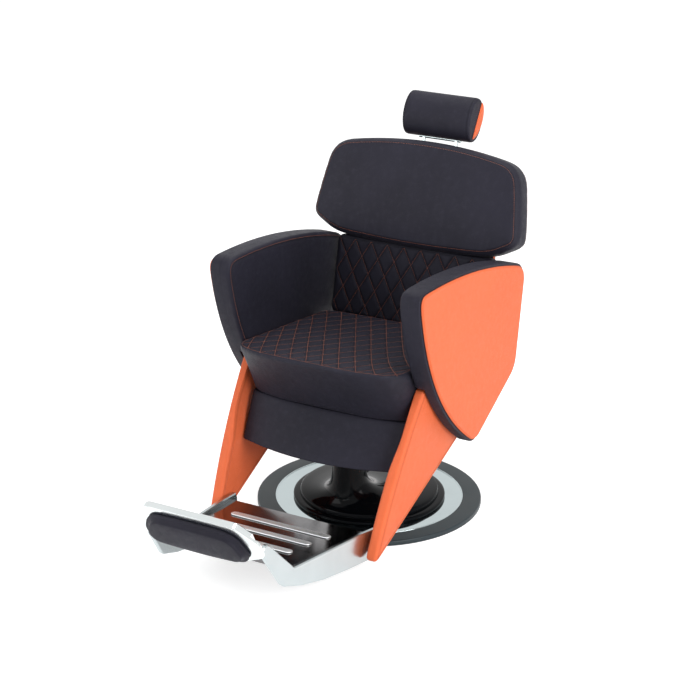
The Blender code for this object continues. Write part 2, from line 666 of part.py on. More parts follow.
def make_pedal():
    """Foot lever on its pin, with a rubber pad at the end."""
    reach = PEDAL_LEVER_WIDTH / 2 + PEDAL_EAR_THICKNESS + 0.002
    pin_y, pin_z = PEDAL_PIN_Y, PEDAL_PIN_RISE
    add("pedal_pin", "base", BRIGHT_STEEL,
        rod((-reach, pin_y, pin_z), (reach, pin_y, pin_z), PEDAL_PIN_RADIUS))
    half = PEDAL_LEVER_THICKNESS / 2
    tail = pin_y + PEDAL_LEVER_LENGTH
    drop = PEDAL_DROP
    outline = bowed_outline(
        [(pin_y - 0.011, pin_z - 0.010), (pin_y + 0.020, pin_z - 0.010),
         (tail, pin_z - drop - half), (tail + PEDAL_PAD_LENGTH, pin_z - drop - half),
         (tail + PEDAL_PAD_LENGTH, pin_z - drop + half), (tail, pin_z - drop + half),
         (pin_y + 0.020, pin_z + 0.010), (pin_y - 0.011, pin_z + 0.010)],
        (0,) * 8, (0.008, 0.004, 0.002, 0.001, 0.001, 0.002, 0.004, 0.008), 1, 2)
    lever = add("pedal_lever", "pump_pedal", CHROME,
                plate(outline, lambda u, v, w: Vector((w, u, v)),
                      [(0.001, -PEDAL_LEVER_WIDTH / 2), (0, -PEDAL_LEVER_WIDTH / 2 + 0.001),
                       (0, PEDAL_LEVER_WIDTH / 2 - 0.001), (0.001, PEDAL_LEVER_WIDTH / 2)]))
    cut_or_join(lever, "lever_bore_tool", "pump_pedal",
                rod((-reach, pin_y, pin_z), (reach, pin_y, pin_z), PEDAL_PIN_RADIUS + RUNNING_GAP))
    wide = PEDAL_PAD_WIDTH / 2
    long = PEDAL_PAD_LENGTH
    outline = bowed_outline([(-wide, tail), (wide, tail), (wide, tail + long), (-wide, tail + long)],
                            (0, 0, 0, 0), (0.012,) * 4)
    foot = pin_z - drop + half + GAP
    add("pedal_pad", "pump_pedal", RUBBER,
        plate(outline, lambda u, v, w: Vector((u, v, foot + w)),
              [(0.001, 0), (0, 0.002), (0, PEDAL_PAD_THICKNESS - 0.004),
               (0.001, PEDAL_PAD_THICKNESS - 0.001), (0.004, PEDAL_PAD_THICKNESS)]))


def make_ram_and_swivel():
    """Ram that rises in the pump, and the hub that turns on its spigot under the seat."""
    centre = (0, COLUMN_Y)
    shoulder = HUB_BOTTOM - GAP
    add("lift_ram", "lift", CHROME, turned([
        (RAM_RADIUS - 0.003, RAM_FOOT_Z), (RAM_RADIUS, RAM_FOOT_Z + 0.003), (RAM_RADIUS, shoulder),
        (SPIGOT_RADIUS, shoulder), (SPIGOT_RADIUS, HUB_TOP - SWIVEL_PLATE_THICKNESS - 0.004)],
        centre, 32))
    bore = SPIGOT_RADIUS + RUNNING_GAP
    ceiling = HUB_TOP - SWIVEL_PLATE_THICKNESS
    plate_low = HUB_TOP - SWIVEL_PLATE_THICKNESS
    hub = add("swivel_hub", "seat", STEEL, turned([
        (bore, HUB_BOTTOM), (HUB_RADIUS - 0.004, HUB_BOTTOM), (HUB_RADIUS, HUB_BOTTOM + 0.004),
        (HUB_RADIUS, plate_low + 0.002), (bore, plate_low + 0.002)], centre, 32, closed=True))
    half = SWIVEL_PLATE_SIDE / 2
    outline = bowed_outline([(-half, COLUMN_Y - half), (half, COLUMN_Y - half),
                             (half, COLUMN_Y + half), (-half, COLUMN_Y + half)],
                            (0, 0, 0, 0), (0.014,) * 4)
    cut_or_join(hub, "swivel_plate_tool", "seat",
                plate(outline, lambda u, v, w: Vector((u, v, w)), [(0, ceiling), (0, HUB_TOP)]),
                "UNION")


# ---------------------------------------------------------------- seat frame and cushion
def make_frame():
    """Welded frame: one closed rectangle of tube with two cross tubes over the swivel plate."""
    top = FRAME_Z + FRAME_TUBE
    frame = add("seat_frame", "seat", STEEL,
                box((-FRAME_HALF_WIDTH, FRAME_FRONT_Y, FRAME_Z), (FRAME_HALF_WIDTH, FRAME_REAR_Y, top)))
    inner = FRAME_HALF_WIDTH - FRAME_TUBE
    cross = SWIVEL_PLATE_SIDE / 2 - FRAME_TUBE
    stops = (FRAME_FRONT_Y + FRAME_TUBE, COLUMN_Y + cross - FRAME_TUBE / 2,
             COLUMN_Y + cross + FRAME_TUBE / 2, FRAME_REAR_Y - FRAME_TUBE)
    windows = [box((-inner, stops[i], FRAME_Z - 0.01), (inner, stops[i + 1], top + 0.01))
               for i in (0, 2)]
    cut_or_join(frame, "frame_windows_tool", "seat", merge(*windows))
    half = SEAT_HALF_WIDTH - 0.025
    front = SEAT_FRONT_CORNER_Y + SEAT_FRONT_RAKE + 0.020
    rear = SEAT_REAR_Y - 0.010
    outline = bowed_outline([(-half, front), (half, front), (half, rear), (-half, rear)],
                            (0, 0, 0, 0), (0.020,) * 4)
    add("seat_pan", "seat", PLYWOOD,
        plate(outline, lambda u, v, w: Vector((u, v, PAN_Z + w)), [(0, 0), (0, PAN_THICKNESS)]))


def quilt(across, along):
    """Swell of a diamond-quilted face, 0 on the seams and 1 in the middle of a diamond."""
    first = abs(sin(pi * (across + along) / 2))
    second = abs(sin(pi * (across - along) / 2))
    return (first * second) ** 0.6


def cushion(columns, rows, top_point, wall_levels, place):
    """A closed cushion: a grid for its face, then rings down its walls to a flat back.

    top_point(u, v) gives a face point (across, along, height) for u and v from 0 to 1;
    wall_levels holds (outset, height, side_only) for each ring below the face's border.
    """
    grid = [[Vector(top_point(i / columns, j / rows)) for i in range(columns + 1)]
            for j in range(rows + 1)]
    points = [place(*grid[j][i]) for j in range(rows + 1) for i in range(columns + 1)]
    faces = []

    def index(i, j):
        return j * (columns + 1) + i
    for j in range(rows):
        for i in range(columns):
            corners = (index(i, j), index(i + 1, j), index(i + 1, j + 1), index(i, j + 1))
            low, right, high, left = corners
            if (i + j) % 2 == 0:
                faces += [(low, right, high), (low, high, left)]
            else:
                faces += [(low, right, left), (right, high, left)]
    border = ([(i, 0) for i in range(columns)] + [(columns, j) for j in range(rows)]
              + [(i, rows) for i in range(columns, 0, -1)] + [(0, j) for j in range(rows, 0, -1)])
    flat = [(grid[j][i].x, grid[j][i].y) for i, j in border]
    previous = [index(i, j) for i, j in border]
    count = len(border)
    for outset, height in wall_levels:
        ring = inset(flat, -outset)
        start = len(points)
        for k in range(count):
            border_height = grid[border[k][1]][border[k][0]].z
            points.append(place(ring[k][0], ring[k][1], border_height * height[0] + height[1]))
        for k in range(count):
            following = (k + 1) % count
            faces.append((previous[k], start + k, start + following, previous[following]))
        previous = [start + k for k in range(count)]
    faces.append(tuple(previous))
    return points, faces


def make_seat_cushion():
    """Bowed, crowned seat with a quilted top, a raked front and drawn-in sides."""
    edge = CUSHION_EDGE * 0.62
    half = SEAT_HALF_WIDTH - edge
    depth_at_side = SEAT_REAR_Y - SEAT_FRONT_CORNER_Y

    def front_y(across):
        bow = 1 - abs(across / SEAT_HALF_WIDTH) ** SEAT_FRONT_FULLNESS
        return SEAT_FRONT_CORNER_Y - SEAT_FRONT_BOW * bow

    def face(u, v):
        across = half * (2 * u - 1)
        front = front_y(across) + edge
        along = front + (SEAT_REAR_Y - edge - front) * v
        share = (along - SEAT_FRONT_CORNER_Y) / depth_at_side
        height = SEAT_FRONT_TOP_Z + (SEAT_REAR_TOP_Z - SEAT_FRONT_TOP_Z) * share
        height += SEAT_CROWN * (1 - (across / half) ** 2)
        swell = quilt(u * 2 * SEAT_DIAMONDS_ACROSS, v * 2 * SEAT_DIAMONDS_ALONG)
        fade = min(1.0, 10 * min(u, 1 - u, v, 1 - v))
        return across, along, height + QUILT_DEPTH * (swell - 0.5) * fade - CUSHION_Z

    def place(across, along, height):
        drop = max(0.0, SEAT_FRONT_TOP_Z - CUSHION_Z - height) / (SEAT_FRONT_TOP_Z - CUSHION_Z)
        forward = (SEAT_REAR_Y - along) / depth_at_side
        rake = SEAT_FRONT_RAKE * drop * max(0.0, forward) ** 2
        return Vector((across, along + rake, CUSHION_Z + height))
    walls = [(edge * 0.72, (1, -CUSHION_EDGE * 0.32)), (edge, (1, -CUSHION_EDGE)),
             (edge - 0.006, (0, 0))]
    add("seat_cushion", "seat", DARK_LEATHER,
        cushion(4 * SEAT_DIAMONDS_ACROSS, 4 * SEAT_DIAMONDS_ALONG, face, walls, place), 60)


# ---------------------------------------------------------------- arms and side legs
def arm_outline():
    """Side view of an arm, as (y, z): bowed top, bowed front edge and a pointed foot."""
    return bowed_outline([ARM_FRONT_TOP, ARM_TIP, ARM_REAR_KNEE, ARM_REAR_TOP],
                         (ARM_FRONT_BOW, 0, 0, ARM_TOP_BOW), (0.045, 0.034, 0.040, 0.055), 9, 5)


def make_arms():
    """Each arm's body, stepped back below its ledge, and its outer panel."""
    outline = arm_outline()
    deep = ARM_BODY_X - ARM_INNER_X
    profile = [(ARM_EDGE, 0), (ARM_EDGE * 0.29, ARM_EDGE * 0.29), (0, ARM_EDGE), (0, deep)]
    panel = ARM_PANEL_THICKNESS
    panel_profile = [(0.0015, 0), (0.0015, panel - ARM_PANEL_EDGE),
                     (0.0015 + 0.3 * ARM_PANEL_EDGE, panel - 0.3 * ARM_PANEL_EDGE),
                     (0.0015 + ARM_PANEL_EDGE, panel)]
    reach = 0.5
    step = [(-reach, ledge_z(-reach)), (-reach, 0), (reach, 0), (reach, ledge_z(reach))]
    for name, side in SIDES:
        body = add("arm_body_" + name, "seat", DARK_LEATHER,
                   plate(outline, lambda u, v, w, side=side: Vector((side * (ARM_INNER_X + w), u, v)),
                         profile))
        rings = [[(side * x, u, v) for u, v in step] for x in (ARM_INNER_X - 0.02, ARM_FLAP_X)]
        cut_or_join(body, "arm_step_tool_" + name, "seat", loft(rings))
        add("arm_panel_" + name, "seat", ORANGE_LEATHER,
            plate(outline, lambda u, v, w, side=side: Vector((side * (ARM_BODY_X + GAP + w), u, v)),
                  panel_profile))


def blade_outline():
    """Side view of a leg, as (y, z): its head lies under the arm's ledge."""
    head = GAP * 2
    front_top = (BLADE_FRONT_TOP_Y, ledge_z(BLADE_FRONT_TOP_Y) - head)
    rear_top = (BLADE_REAR_TOP_Y, ledge_z(BLADE_REAR_TOP_Y) - head)
    return bowed_outline([front_top, BLADE_TOE, BLADE_HEEL, rear_top],
                         (BLADE_FRONT_BOW, 0, 0, 0), (0.014, 0.044, 0.020, 0.020), 6, 4)


def make_legs():
    """Leaning side legs, the channels that bolt them to the frame and the spacers to the arms."""
    outline = blade_outline()
    soft = BLADE_EDGE
    profile = [(soft, 0), (soft * 0.29, soft * 0.29), (0, soft), (0, BLADE_THICKNESS - soft),
               (soft * 0.29, BLADE_THICKNESS - soft * 0.29), (soft, BLADE_THICKNESS)]
    top = FRAME_Z + FRAME_TUBE
    low = top - LEG_BRACKET_HEIGHT
    wall = LEG_BRACKET_WALL
    near = FRAME_HALF_WIDTH + GAP
    middle = (FRAME_FRONT_Y + BLADE_REAR_TOP_Y) / 2
    for name, side in SIDES:
        leg = add("side_leg_" + name, "seat", ORANGE_LEATHER,
                  plate(outline, lambda u, v, w, side=side: Vector((side * (blade_inner(v) + w), u, v)),
                        profile))
        clear = SEAT_HALF_WIDTH + 0.002
        rings = [[(side * 0.2, -0.5, z), (side * clear, -0.5, z), (side * clear, 0.5, z), (side * 0.2, 0.5, z)]
                 for z in (CUSHION_Z - 0.002, 0.6)]
        cut_or_join(leg, "seat_recess_tool_" + name, "seat", loft(rings))
        channel = [(near, low), (blade_inner(low) - GAP * 2, low), (blade_inner(top) - GAP * 2, top),
                   (near, top), (near, top - wall), (blade_inner(top - wall) - GAP * 2 - wall, top - wall),
                   (blade_inner(low + wall) - GAP * 2 - wall, low + wall), (near, low + wall)]
        rings = [[(side * x, y, z) for x, z in channel]
                 for y in (middle - LEG_BRACKET_LENGTH / 2, middle + LEG_BRACKET_LENGTH / 2)]
        add("leg_bracket_" + name, "seat", STEEL, loft(rings))
        (y0, z0), (y1, z1) = ARM_SPACER
        rings = []
        for y in (y0, y1):
            rings.append([(side * (blade_inner(z0) + BLADE_THICKNESS + GAP), y, z0),
                          (side * (ARM_FLAP_X - GAP), y, z0), (side * (ARM_FLAP_X - GAP), y, z1),
                          (side * (blade_inner(z1) + BLADE_THICKNESS + GAP), y, z1)])
        add("arm_spacer_" + name, "seat", PLASTIC, loft(rings))


def skirt_front(across, z, half):
    """Front of the skirt: bowed across, raked back as it rises."""
    share = (z - SKIRT_BOTTOM[1]) / (CUSHION_Z - SKIRT_BOTTOM[1])
    corner = SKIRT_BOTTOM[0] + (SKIRT_TOP_Y - SKIRT_BOTTOM[0]) * share
    bow = SKIRT_BOW_BOTTOM + (SKIRT_BOW_TOP - SKIRT_BOW_BOTTOM) * share
    return corner - bow * (1 - (across / half) ** 2)


def make_skirt():
    """A bowed apron with short returns along the legs, and the bracket that carries it."""
    top = PAN_Z + PAN_THICKNESS - 0.002
    levels = 3
    rings = []
    for level in range(levels + 1):
        z = SKIRT_BOTTOM[1] + (top - SKIRT_BOTTOM[1]) * level / levels
        ring = []
        for wall in (0, SKIRT_WALL):
            half = blade_inner(z) - SKIRT_SIDE_GAP
            line = [(-half + wall, skirt_front(half, z, half) + SKIRT_RETURN)]
            flat = half - SKIRT_CORNER
            corner_y = skirt_front(flat, z, half) + SKIRT_CORNER
            for i in range(4):
                turn = pi / 2 * i / 3
                line.append((-flat - (SKIRT_CORNER - wall) * cos(turn),
                             corner_y - (SKIRT_CORNER - wall) * sin(turn)))
            for i in range(1, 12):
                across = flat * (i / 6 - 1)
                line.append((across, skirt_front(across, z, half) + wall))
            mirrored = [(-x, y) for x, y in line[:5][::-1]]
            line += mirrored
            ring += line if wall == 0 else line[::-1]
        rings.append([(x, y, z) for x, y in ring])
    add("skirt", "seat", DARK_LEATHER, loft(rings), 50)
    rings = []
    for z in (FRAME_Z + 0.003, FRAME_Z + FRAME_TUBE - 0.003):
        half = blade_inner(z) - SKIRT_SIDE_GAP
        ring = [(SKIRT_BRACKET_HALF, FRAME_FRONT_Y - GAP, z), (-SKIRT_BRACKET_HALF, FRAME_FRONT_Y - GAP, z)]
        for i in range(9):
            across = SKIRT_BRACKET_HALF * (i / 4 - 1)
            ring.append((across, skirt_front(across, z, half) + SKIRT_WALL + 2 * GAP, z))
        rings.append(ring)
    add("skirt_bracket", "seat", STEEL, loft(rings))


# ---------------------------------------------------------------- footrest and calf pad
def cheek_outline():
    """Side view of a footrest cheek, as (y, z), with a round nose about the calf pad's hinge."""
    nose = []
    for i in range(7):
        turn = radians(48 + (200 - 48) * i / 6)
        nose.append((FLIP_AXIS_Y + NOSE_RADIUS * cos(turn), FLIP_AXIS_Z + NOSE_RADIUS * sin(turn)))
    notch_y = TREAD_FRONT_Y - 0.004
    notch = (notch_y, tread_top(notch_y) + 0.001)
    rear_top = (BOSS_Y + 0.014, tread_top(BOSS_Y) + 0.012)
    rear_low = (BOSS_Y + 0.014, BOSS_Z - 0.056)
    return nose + [(-0.829, 0.119), (-0.819, 0.111), (-0.740, 0.082), (-0.641, 0.058),
                   (-0.520, 0.041), (-0.431, 0.032), rear_low,
                   (rear_low[0] + 0.008, rear_low[1] + 0.012), (rear_top[0] + 0.008, rear_top[1] - 0.014),
                   rear_top, (-0.470, 0.127), (notch[0] + 0.012, notch[1] + 0.0005),
                   (notch[0] - 0.004, notch[1] + 0.002)]


def make_footrest():
    """Cheeks, the bosses that join them to the legs, the tread and its grip strips."""
    outline = cheek_outline()
    soft = 0.003
    profile = [(soft, 0), (0, soft), (0, CHEEK_THICKNESS - soft), (soft, CHEEK_THICKNESS)]
    for name, side in SIDES:
        cheek = add("footrest_cheek_" + name, "seat", POLISHED,
                    plate(outline,
                          lambda u, v, w, side=side: Vector((side * (cheek_outer(u) - w), u, v)),
                          profile))
        inner = cheek_outer(FLIP_AXIS_Y) - CHEEK_THICKNESS
        cut_or_join(cheek, "nose_bore_tool_" + name, "seat",
                    rod((side * (inner - 0.010), FLIP_AXIS_Y, FLIP_AXIS_Z),
                        (side * (inner + CHEEK_THICKNESS * 0.8), FLIP_AXIS_Y, FLIP_AXIS_Z),
                        FLIP_PIN_RADIUS + RUNNING_GAP))
        ring = [(BOSS_Y + BOSS_RADIUS * cos(2 * pi * i / SMALL_SIDES),
                 BOSS_Z + BOSS_RADIUS * sin(2 * pi * i / SMALL_SIDES)) for i in range(SMALL_SIDES)]
        add("footrest_boss_" + name, "seat", POLISHED, loft([
            [(side * (cheek_outer(u) + GAP), u, v) for u, v in ring],
            [(side * (blade_inner(v) - GAP), u, v) for u, v in ring]]))
    low = -TREAD_THICKNESS
    section = [(TREAD_FRONT_Y, 0), (TREAD_FRONT_Y - 0.003, -0.003), (TREAD_FRONT_Y - 0.003, -TREAD_LIP),
               (TREAD_FRONT_Y + 0.002, -TREAD_LIP), (TREAD_FRONT_Y + 0.002, low),
               (TREAD_BACK_Y - 0.002, low), (TREAD_BACK_Y - 0.002, -TREAD_LIP),
               (TREAD_BACK_Y + 0.003, -TREAD_LIP), (TREAD_BACK_Y + 0.003, -0.003), (TREAD_BACK_Y, 0)]
    rings = []
    for side in (-1, 1):
        rings.append([(side * (cheek_outer(y) - CHEEK_THICKNESS - GAP), y, tread_top(y) + z)
                      for y, z in section])
    add("footrest_tread", "seat", POLISHED, loft(rings))
    up = Vector((0, TREAD_SLOPE, 1)).normalized()
    along = Vector((0, 1, -TREAD_SLOPE)).normalized()
    for number, (y, half) in enumerate(STRIPS, 1):
        wide = STRIP_WIDTH / 2
        outline = []
        for end in (1, -1):
            for i in range(6):
                turn = -pi / 2 + pi * i / 5 + (0 if end > 0 else pi)
                outline.append((end * (half - wide) + wide * cos(turn), wide * sin(turn)))
        seat = Vector((0, y, tread_top(y))) + up * GAP
        add("grip_strip_%d" % number, "seat", POLISHED,
            plate(outline, lambda u, v, w, seat=seat: seat + Vector((u, 0, 0)) + along * v + up * w,
                  [(0, 0), (0, STRIP_HEIGHT - 0.001), (0.001, STRIP_HEIGHT)]))


def make_calf_pad():
    """Cast frame with a hollow back, hinge lugs and pins, and the pad on its front."""
    side_rise = FLIP_AXIS_RISE + 0.018
    corners = [(-FLIP_TOP_HALF, FLIP_HEIGHT), (-FLIP_SHOULDER_HALF, FLIP_SHOULDER_RISE),
               (-FLIP_SHOULDER_HALF + 0.002, side_rise - 0.012), (-FLIP_FOOT_HALF, -0.002),
               (FLIP_FOOT_HALF, -0.002), (FLIP_SHOULDER_HALF - 0.002, side_rise - 0.012),
               (FLIP_SHOULDER_HALF, FLIP_SHOULDER_RISE), (FLIP_TOP_HALF, FLIP_HEIGHT)]
    outline = bowed_outline(corners, (0,) * 8, (0.010, 0.012, 0.010, 0.008) + (0.008, 0.010, 0.012, 0.010),
                            1, 3)
    soft = 0.002
    frame = add("calf_pad_frame", "calf_pad", POLISHED,
                plate(outline, lambda u, v, w: flip_point(u, v, -w),
                      [(soft, 0), (0, soft), (0, FLIP_DEPTH - soft), (soft, FLIP_DEPTH)]))
    inner = cheek_outer(FLIP_AXIS_Y - NOSE_RADIUS) - CHEEK_THICKNESS - 2 * RUNNING_GAP
    window = bowed_outline([(-FLIP_TOP_HALF + 0.004, FLIP_HEIGHT - FLIP_BAR),
                            (-inner + FLIP_LUG_WIDTH + 0.004, FLIP_SHOULDER_RISE - 0.008),
                            (-inner + FLIP_LUG_WIDTH + 0.004, FLIP_BAR + 0.004),
                            (inner - FLIP_LUG_WIDTH - 0.004, FLIP_BAR + 0.004),
                            (inner - FLIP_LUG_WIDTH - 0.004, FLIP_SHOULDER_RISE - 0.008),
                            (FLIP_TOP_HALF - 0.004, FLIP_HEIGHT - FLIP_BAR)],
                           (0,) * 6, (0.006,) * 6, 1, 2)
    cut_or_join(frame, "frame_hollow_tool", "calf_pad",
                plate(window, lambda u, v, w: flip_point(u, v, -w),
                      [(0, FLIP_WEB), (0, FLIP_DEPTH + 0.010)]))
    # outside the lugs only a flange is left, so that it swings clear of the cheek's round nose
    flange = FLIP_AXIS_DEPTH - NOSE_RADIUS - 2 * RUNNING_GAP
    clear = []
    lugs = []
    for _, side in SIDES:
        rings = [[flip_point(side * x, v, -w) for v, w in
                  ((-0.05, flange), (0.2, flange), (0.2, 0.06), (-0.05, 0.06))]
                 for x in (inner + RUNNING_GAP, FLIP_SHOULDER_HALF + 0.05)]
        clear.append(loft(rings))
        lug = [(FLIP_AXIS_RISE - FLIP_LUG_RADIUS, FLIP_WEB), (FLIP_AXIS_RISE + FLIP_LUG_RADIUS, FLIP_WEB)]
        for i in range(7):
            turn = pi / 2 - pi * i / 6
            lug.append((FLIP_AXIS_RISE + FLIP_LUG_RADIUS * sin(turn),
                        FLIP_AXIS_DEPTH + FLIP_LUG_RADIUS * cos(turn)))
        lugs.append(loft([[flip_point(side * x, v, -w) for v, w in lug]
                          for x in (inner - FLIP_LUG_WIDTH, inner)]))
    cut_or_join(frame, "flange_tool", "calf_pad", merge(*clear))
    cut_or_join(frame, "lugs_tool", "calf_pad", merge(*lugs), "UNION")
    bores = []
    for name, side in SIDES:
        add("calf_pad_pin_" + name, "seat", BRIGHT_STEEL,
            rod((side * (inner - FLIP_LUG_WIDTH * 0.8), FLIP_AXIS_Y, FLIP_AXIS_Z),
                (side * (inner + CHEEK_THICKNESS * 0.75), FLIP_AXIS_Y, FLIP_AXIS_Z), FLIP_PIN_RADIUS))
        bores.append(rod((side * (inner - FLIP_LUG_WIDTH - 0.005), FLIP_AXIS_Y, FLIP_AXIS_Z),
                         (side * (inner + 0.005), FLIP_AXIS_Y, FLIP_AXIS_Z),
                         FLIP_PIN_RADIUS + RUNNING_GAP))
    cut_or_join(frame, "lug_bores_tool", "calf_pad", merge(*bores))
    foot, widest, top = CALF_PAD_RISES
    narrow = FLIP_TOP_HALF - CALF_PAD_TOP_SETBACK
    wide = FLIP_TOP_HALF + CALF_PAD_FLARE
    pad = bowed_outline([(-narrow, top), (-wide, widest), (-FLIP_TOP_HALF, foot),
                         (FLIP_TOP_HALF, foot), (wide, widest), (narrow, top)],
                        (0.002, 0.001, 0.006, 0.001, 0.002, 0.004), (0.012, 0.018, 0.016) * 2, 5, 3)
    soft = CALF_PAD_EDGE
    thick = CALF_PAD_THICKNESS - CALF_PAD_CROWN
    add("calf_pad", "calf_pad", DARK_LEATHER,
        crowned(pad, lambda u, v, w: flip_point(u, v, GAP + w),
                [(0.003, 0), (0, 0.005), (0, thick - soft), (soft * 0.29, thick - soft * 0.29),
                 (soft, thick)], CALF_PAD_CROWN, (0, top / 2)), 60)


# ---------------------------------------------------------------- backrest
def make_lower_back():
    """Quilted lower cushion on its board."""
    height = (LOWER_BACK_HEAD_Z - LOWER_BACK_FOOT_Z) * BACK_TILT
    half = LOWER_BACK_HALF_WIDTH - CUSHION_EDGE * 0.62
    edge = CUSHION_EDGE * 0.62
    thick = LOWER_BACK_THICKNESS

    def face(u, v):
        across = half * (2 * u - 1)
        rise = edge + (height - 2 * edge) * v
        swell = quilt(u * 2 * BACK_DIAMONDS_ACROSS, v * 2 * BACK_DIAMONDS_ALONG)
        fade = min(1.0, 10 * min(u, 1 - u, v, 1 - v))
        crown = LOWER_BACK_CROWN * (1 - (across / half) ** 2)
        return across, rise, thick + crown + QUILT_DEPTH * (swell - 0.5) * fade
    walls = [(edge * 0.72, (1, -CUSHION_EDGE * 0.32)), (edge, (1, -CUSHION_EDGE)),
             (edge - 0.006, (0, 0))]
    add("lower_back_cushion", "back", DARK_LEATHER,
        cushion(4 * BACK_DIAMONDS_ACROSS, 4 * BACK_DIAMONDS_ALONG, face, walls,
                lambda across, rise, forward: back_point(across, rise, forward - thick)), 60)
    board_half = LOWER_BACK_HALF_WIDTH - 0.010
    outline = bowed_outline([(-board_half, 0.010), (board_half, 0.010),
                             (board_half, height - 0.008), (-board_half, height - 0.008)],
                            (0, 0, 0, 0), (0.015,) * 4)
    add("lower_back_board", "back", PLYWOOD,
        plate(outline, lambda u, v, w: back_point(u, v, -thick - GAP - w),
              [(0, 0), (0, BOARD_THICKNESS)]))


def wing_outline():
    """Front view of the upper cushion: wide shoulders over the arms and a bowed top."""
    low_x, low = WING_LOWER_CORNER
    high_x, high = WING_UPPER_CORNER
    return bowed_outline([(-low_x, low), (low_x, low), (high_x, high), (-high_x, high)],
                         (WING_BOTTOM_BOW, WING_SIDE_BOW, WING_TOP_BOW, WING_SIDE_BOW),
                         (0.062, 0.062, 0.070, 0.070), 8, 5)


def make_wing():
    """Upper cushion with a rolled edge and a slight crown, on its board."""
    outline = wing_outline()
    soft = WING_EDGE
    thick = WING_THICKNESS
    profile = [(0.006, -thick), (0.001, -thick + 0.010), (0, -thick * 0.5), (0, -soft),
               (soft * 0.29, -soft * 0.29), (soft, 0)]
    middle = (WING_LOWER_CORNER[1] + WING_UPPER_CORNER[1]) / 2
    add("upper_back_cushion", "back", DARK_LEATHER,
        crowned(outline, lambda u, v, w: wing_point(u, v, -w + WING_CROWN * 0.4), profile,
                WING_CROWN, (0, middle), 3), 50)
    board = inset(outline, BOARD_INSET)
    start = thick + GAP + WING_CROWN * 0.4
    add("upper_back_board", "back", PLYWOOD,
        plate(board, lambda u, v, w: wing_point(u, v, start + w),
              [(0, 0), (0, BOARD_THICKNESS - WING_CROWN * 0.4)]))


def spine(z, depth):
    """The line behind both boards, as (y, z): depth is measured back from the boards."""
    wing_y = WING_Y + WING_SLOPE * (z - WING_Z) + (BOARD_DEPTH + depth) * WING_TILT
    lower = LOWER_BACK_THICKNESS + GAP + BOARD_THICKNESS + depth
    lower_y = LOWER_BACK_Y + LOWER_BACK_SLOPE * (z - LOWER_BACK_Z) + lower * BACK_TILT
    return max(wing_y, lower_y)


def make_back_frame():
    """Two cranked uprights on the hinge axle, joined by cross tubes."""
    near, far = GAP, GAP + UPRIGHT_DEPTH
    bend_z = LOWER_BACK_FOOT_Z - 0.016
    front = [(spine(z, near), z) for z in (UPRIGHT_TOP_Z, *SPINE_LEVELS[::-1], bend_z)]
    rear = [(spine(z, far), z) for z in (bend_z - 0.012, *SPINE_LEVELS, UPRIGHT_TOP_Z)]
    boss = 0.018
    foot = []
    for i in range(7):
        turn = radians(125 + 190 * i / 6)
        foot.append((PIVOT_Y + boss * cos(turn), PIVOT_Z + boss * sin(turn)))
    outline = front + foot + rear
    x0, x1 = FRAME_HALF_WIDTH - UPRIGHT_WIDTH, FRAME_HALF_WIDTH
    uprights = [loft([[(side * x, y, z) for y, z in outline] for x in (x0, x1)]) for _, side in SIDES]
    frame = add("back_frame", "back", STEEL, merge(*uprights))
    bars = []
    for z in CROSSBAR_Z:
        bars.append(box((-x0 - 0.005, spine(z + CROSSBAR_HEIGHT, near) + 0.0005, z),
                        (x0 + 0.005, spine(z, far) - 0.002, z + CROSSBAR_HEIGHT)))
    cut_or_join(frame, "crossbars_tool", "back", merge(*bars), "UNION")
    reach = FRAME_HALF_WIDTH + 0.01
    cut_or_join(frame, "axle_bores_tool", "back",
                rod((-reach, PIVOT_Y, PIVOT_Z), (reach, PIVOT_Y, PIVOT_Z), AXLE_RADIUS + GAP, 24))


def make_back_cover():
    """Moulded rear shell, a channel lofted up the back whose ends curve in."""
    deep = UPRIGHT_DEPTH + 0.0015 + COVER_SHELL_WALL
    rings = []
    for z, wider in COVER_LEVELS:
        half = LOWER_BACK_HALF_WIDTH + wider
        section = []
        for wall in (0, COVER_SHELL_WALL):
            line = [(-half + wall, 0.003)]
            for i in range(4):
                turn = pi / 2 * i / 3
                line.append((-half + COVER_CORNER - (COVER_CORNER - wall) * cos(turn),
                             deep - COVER_CORNER + (COVER_CORNER - wall) * sin(turn)))
            line += [(-half / 3, deep - wall), (half / 3, deep - wall)]
            line += [(-x, depth) for x, depth in line[:5][::-1]]
            section += line if wall == 0 else line[::-1]
        rings.append([(x, spine(z, depth), z) for x, depth in section])
    add("back_cover", "back", ORANGE_LEATHER, loft(rings), 50)


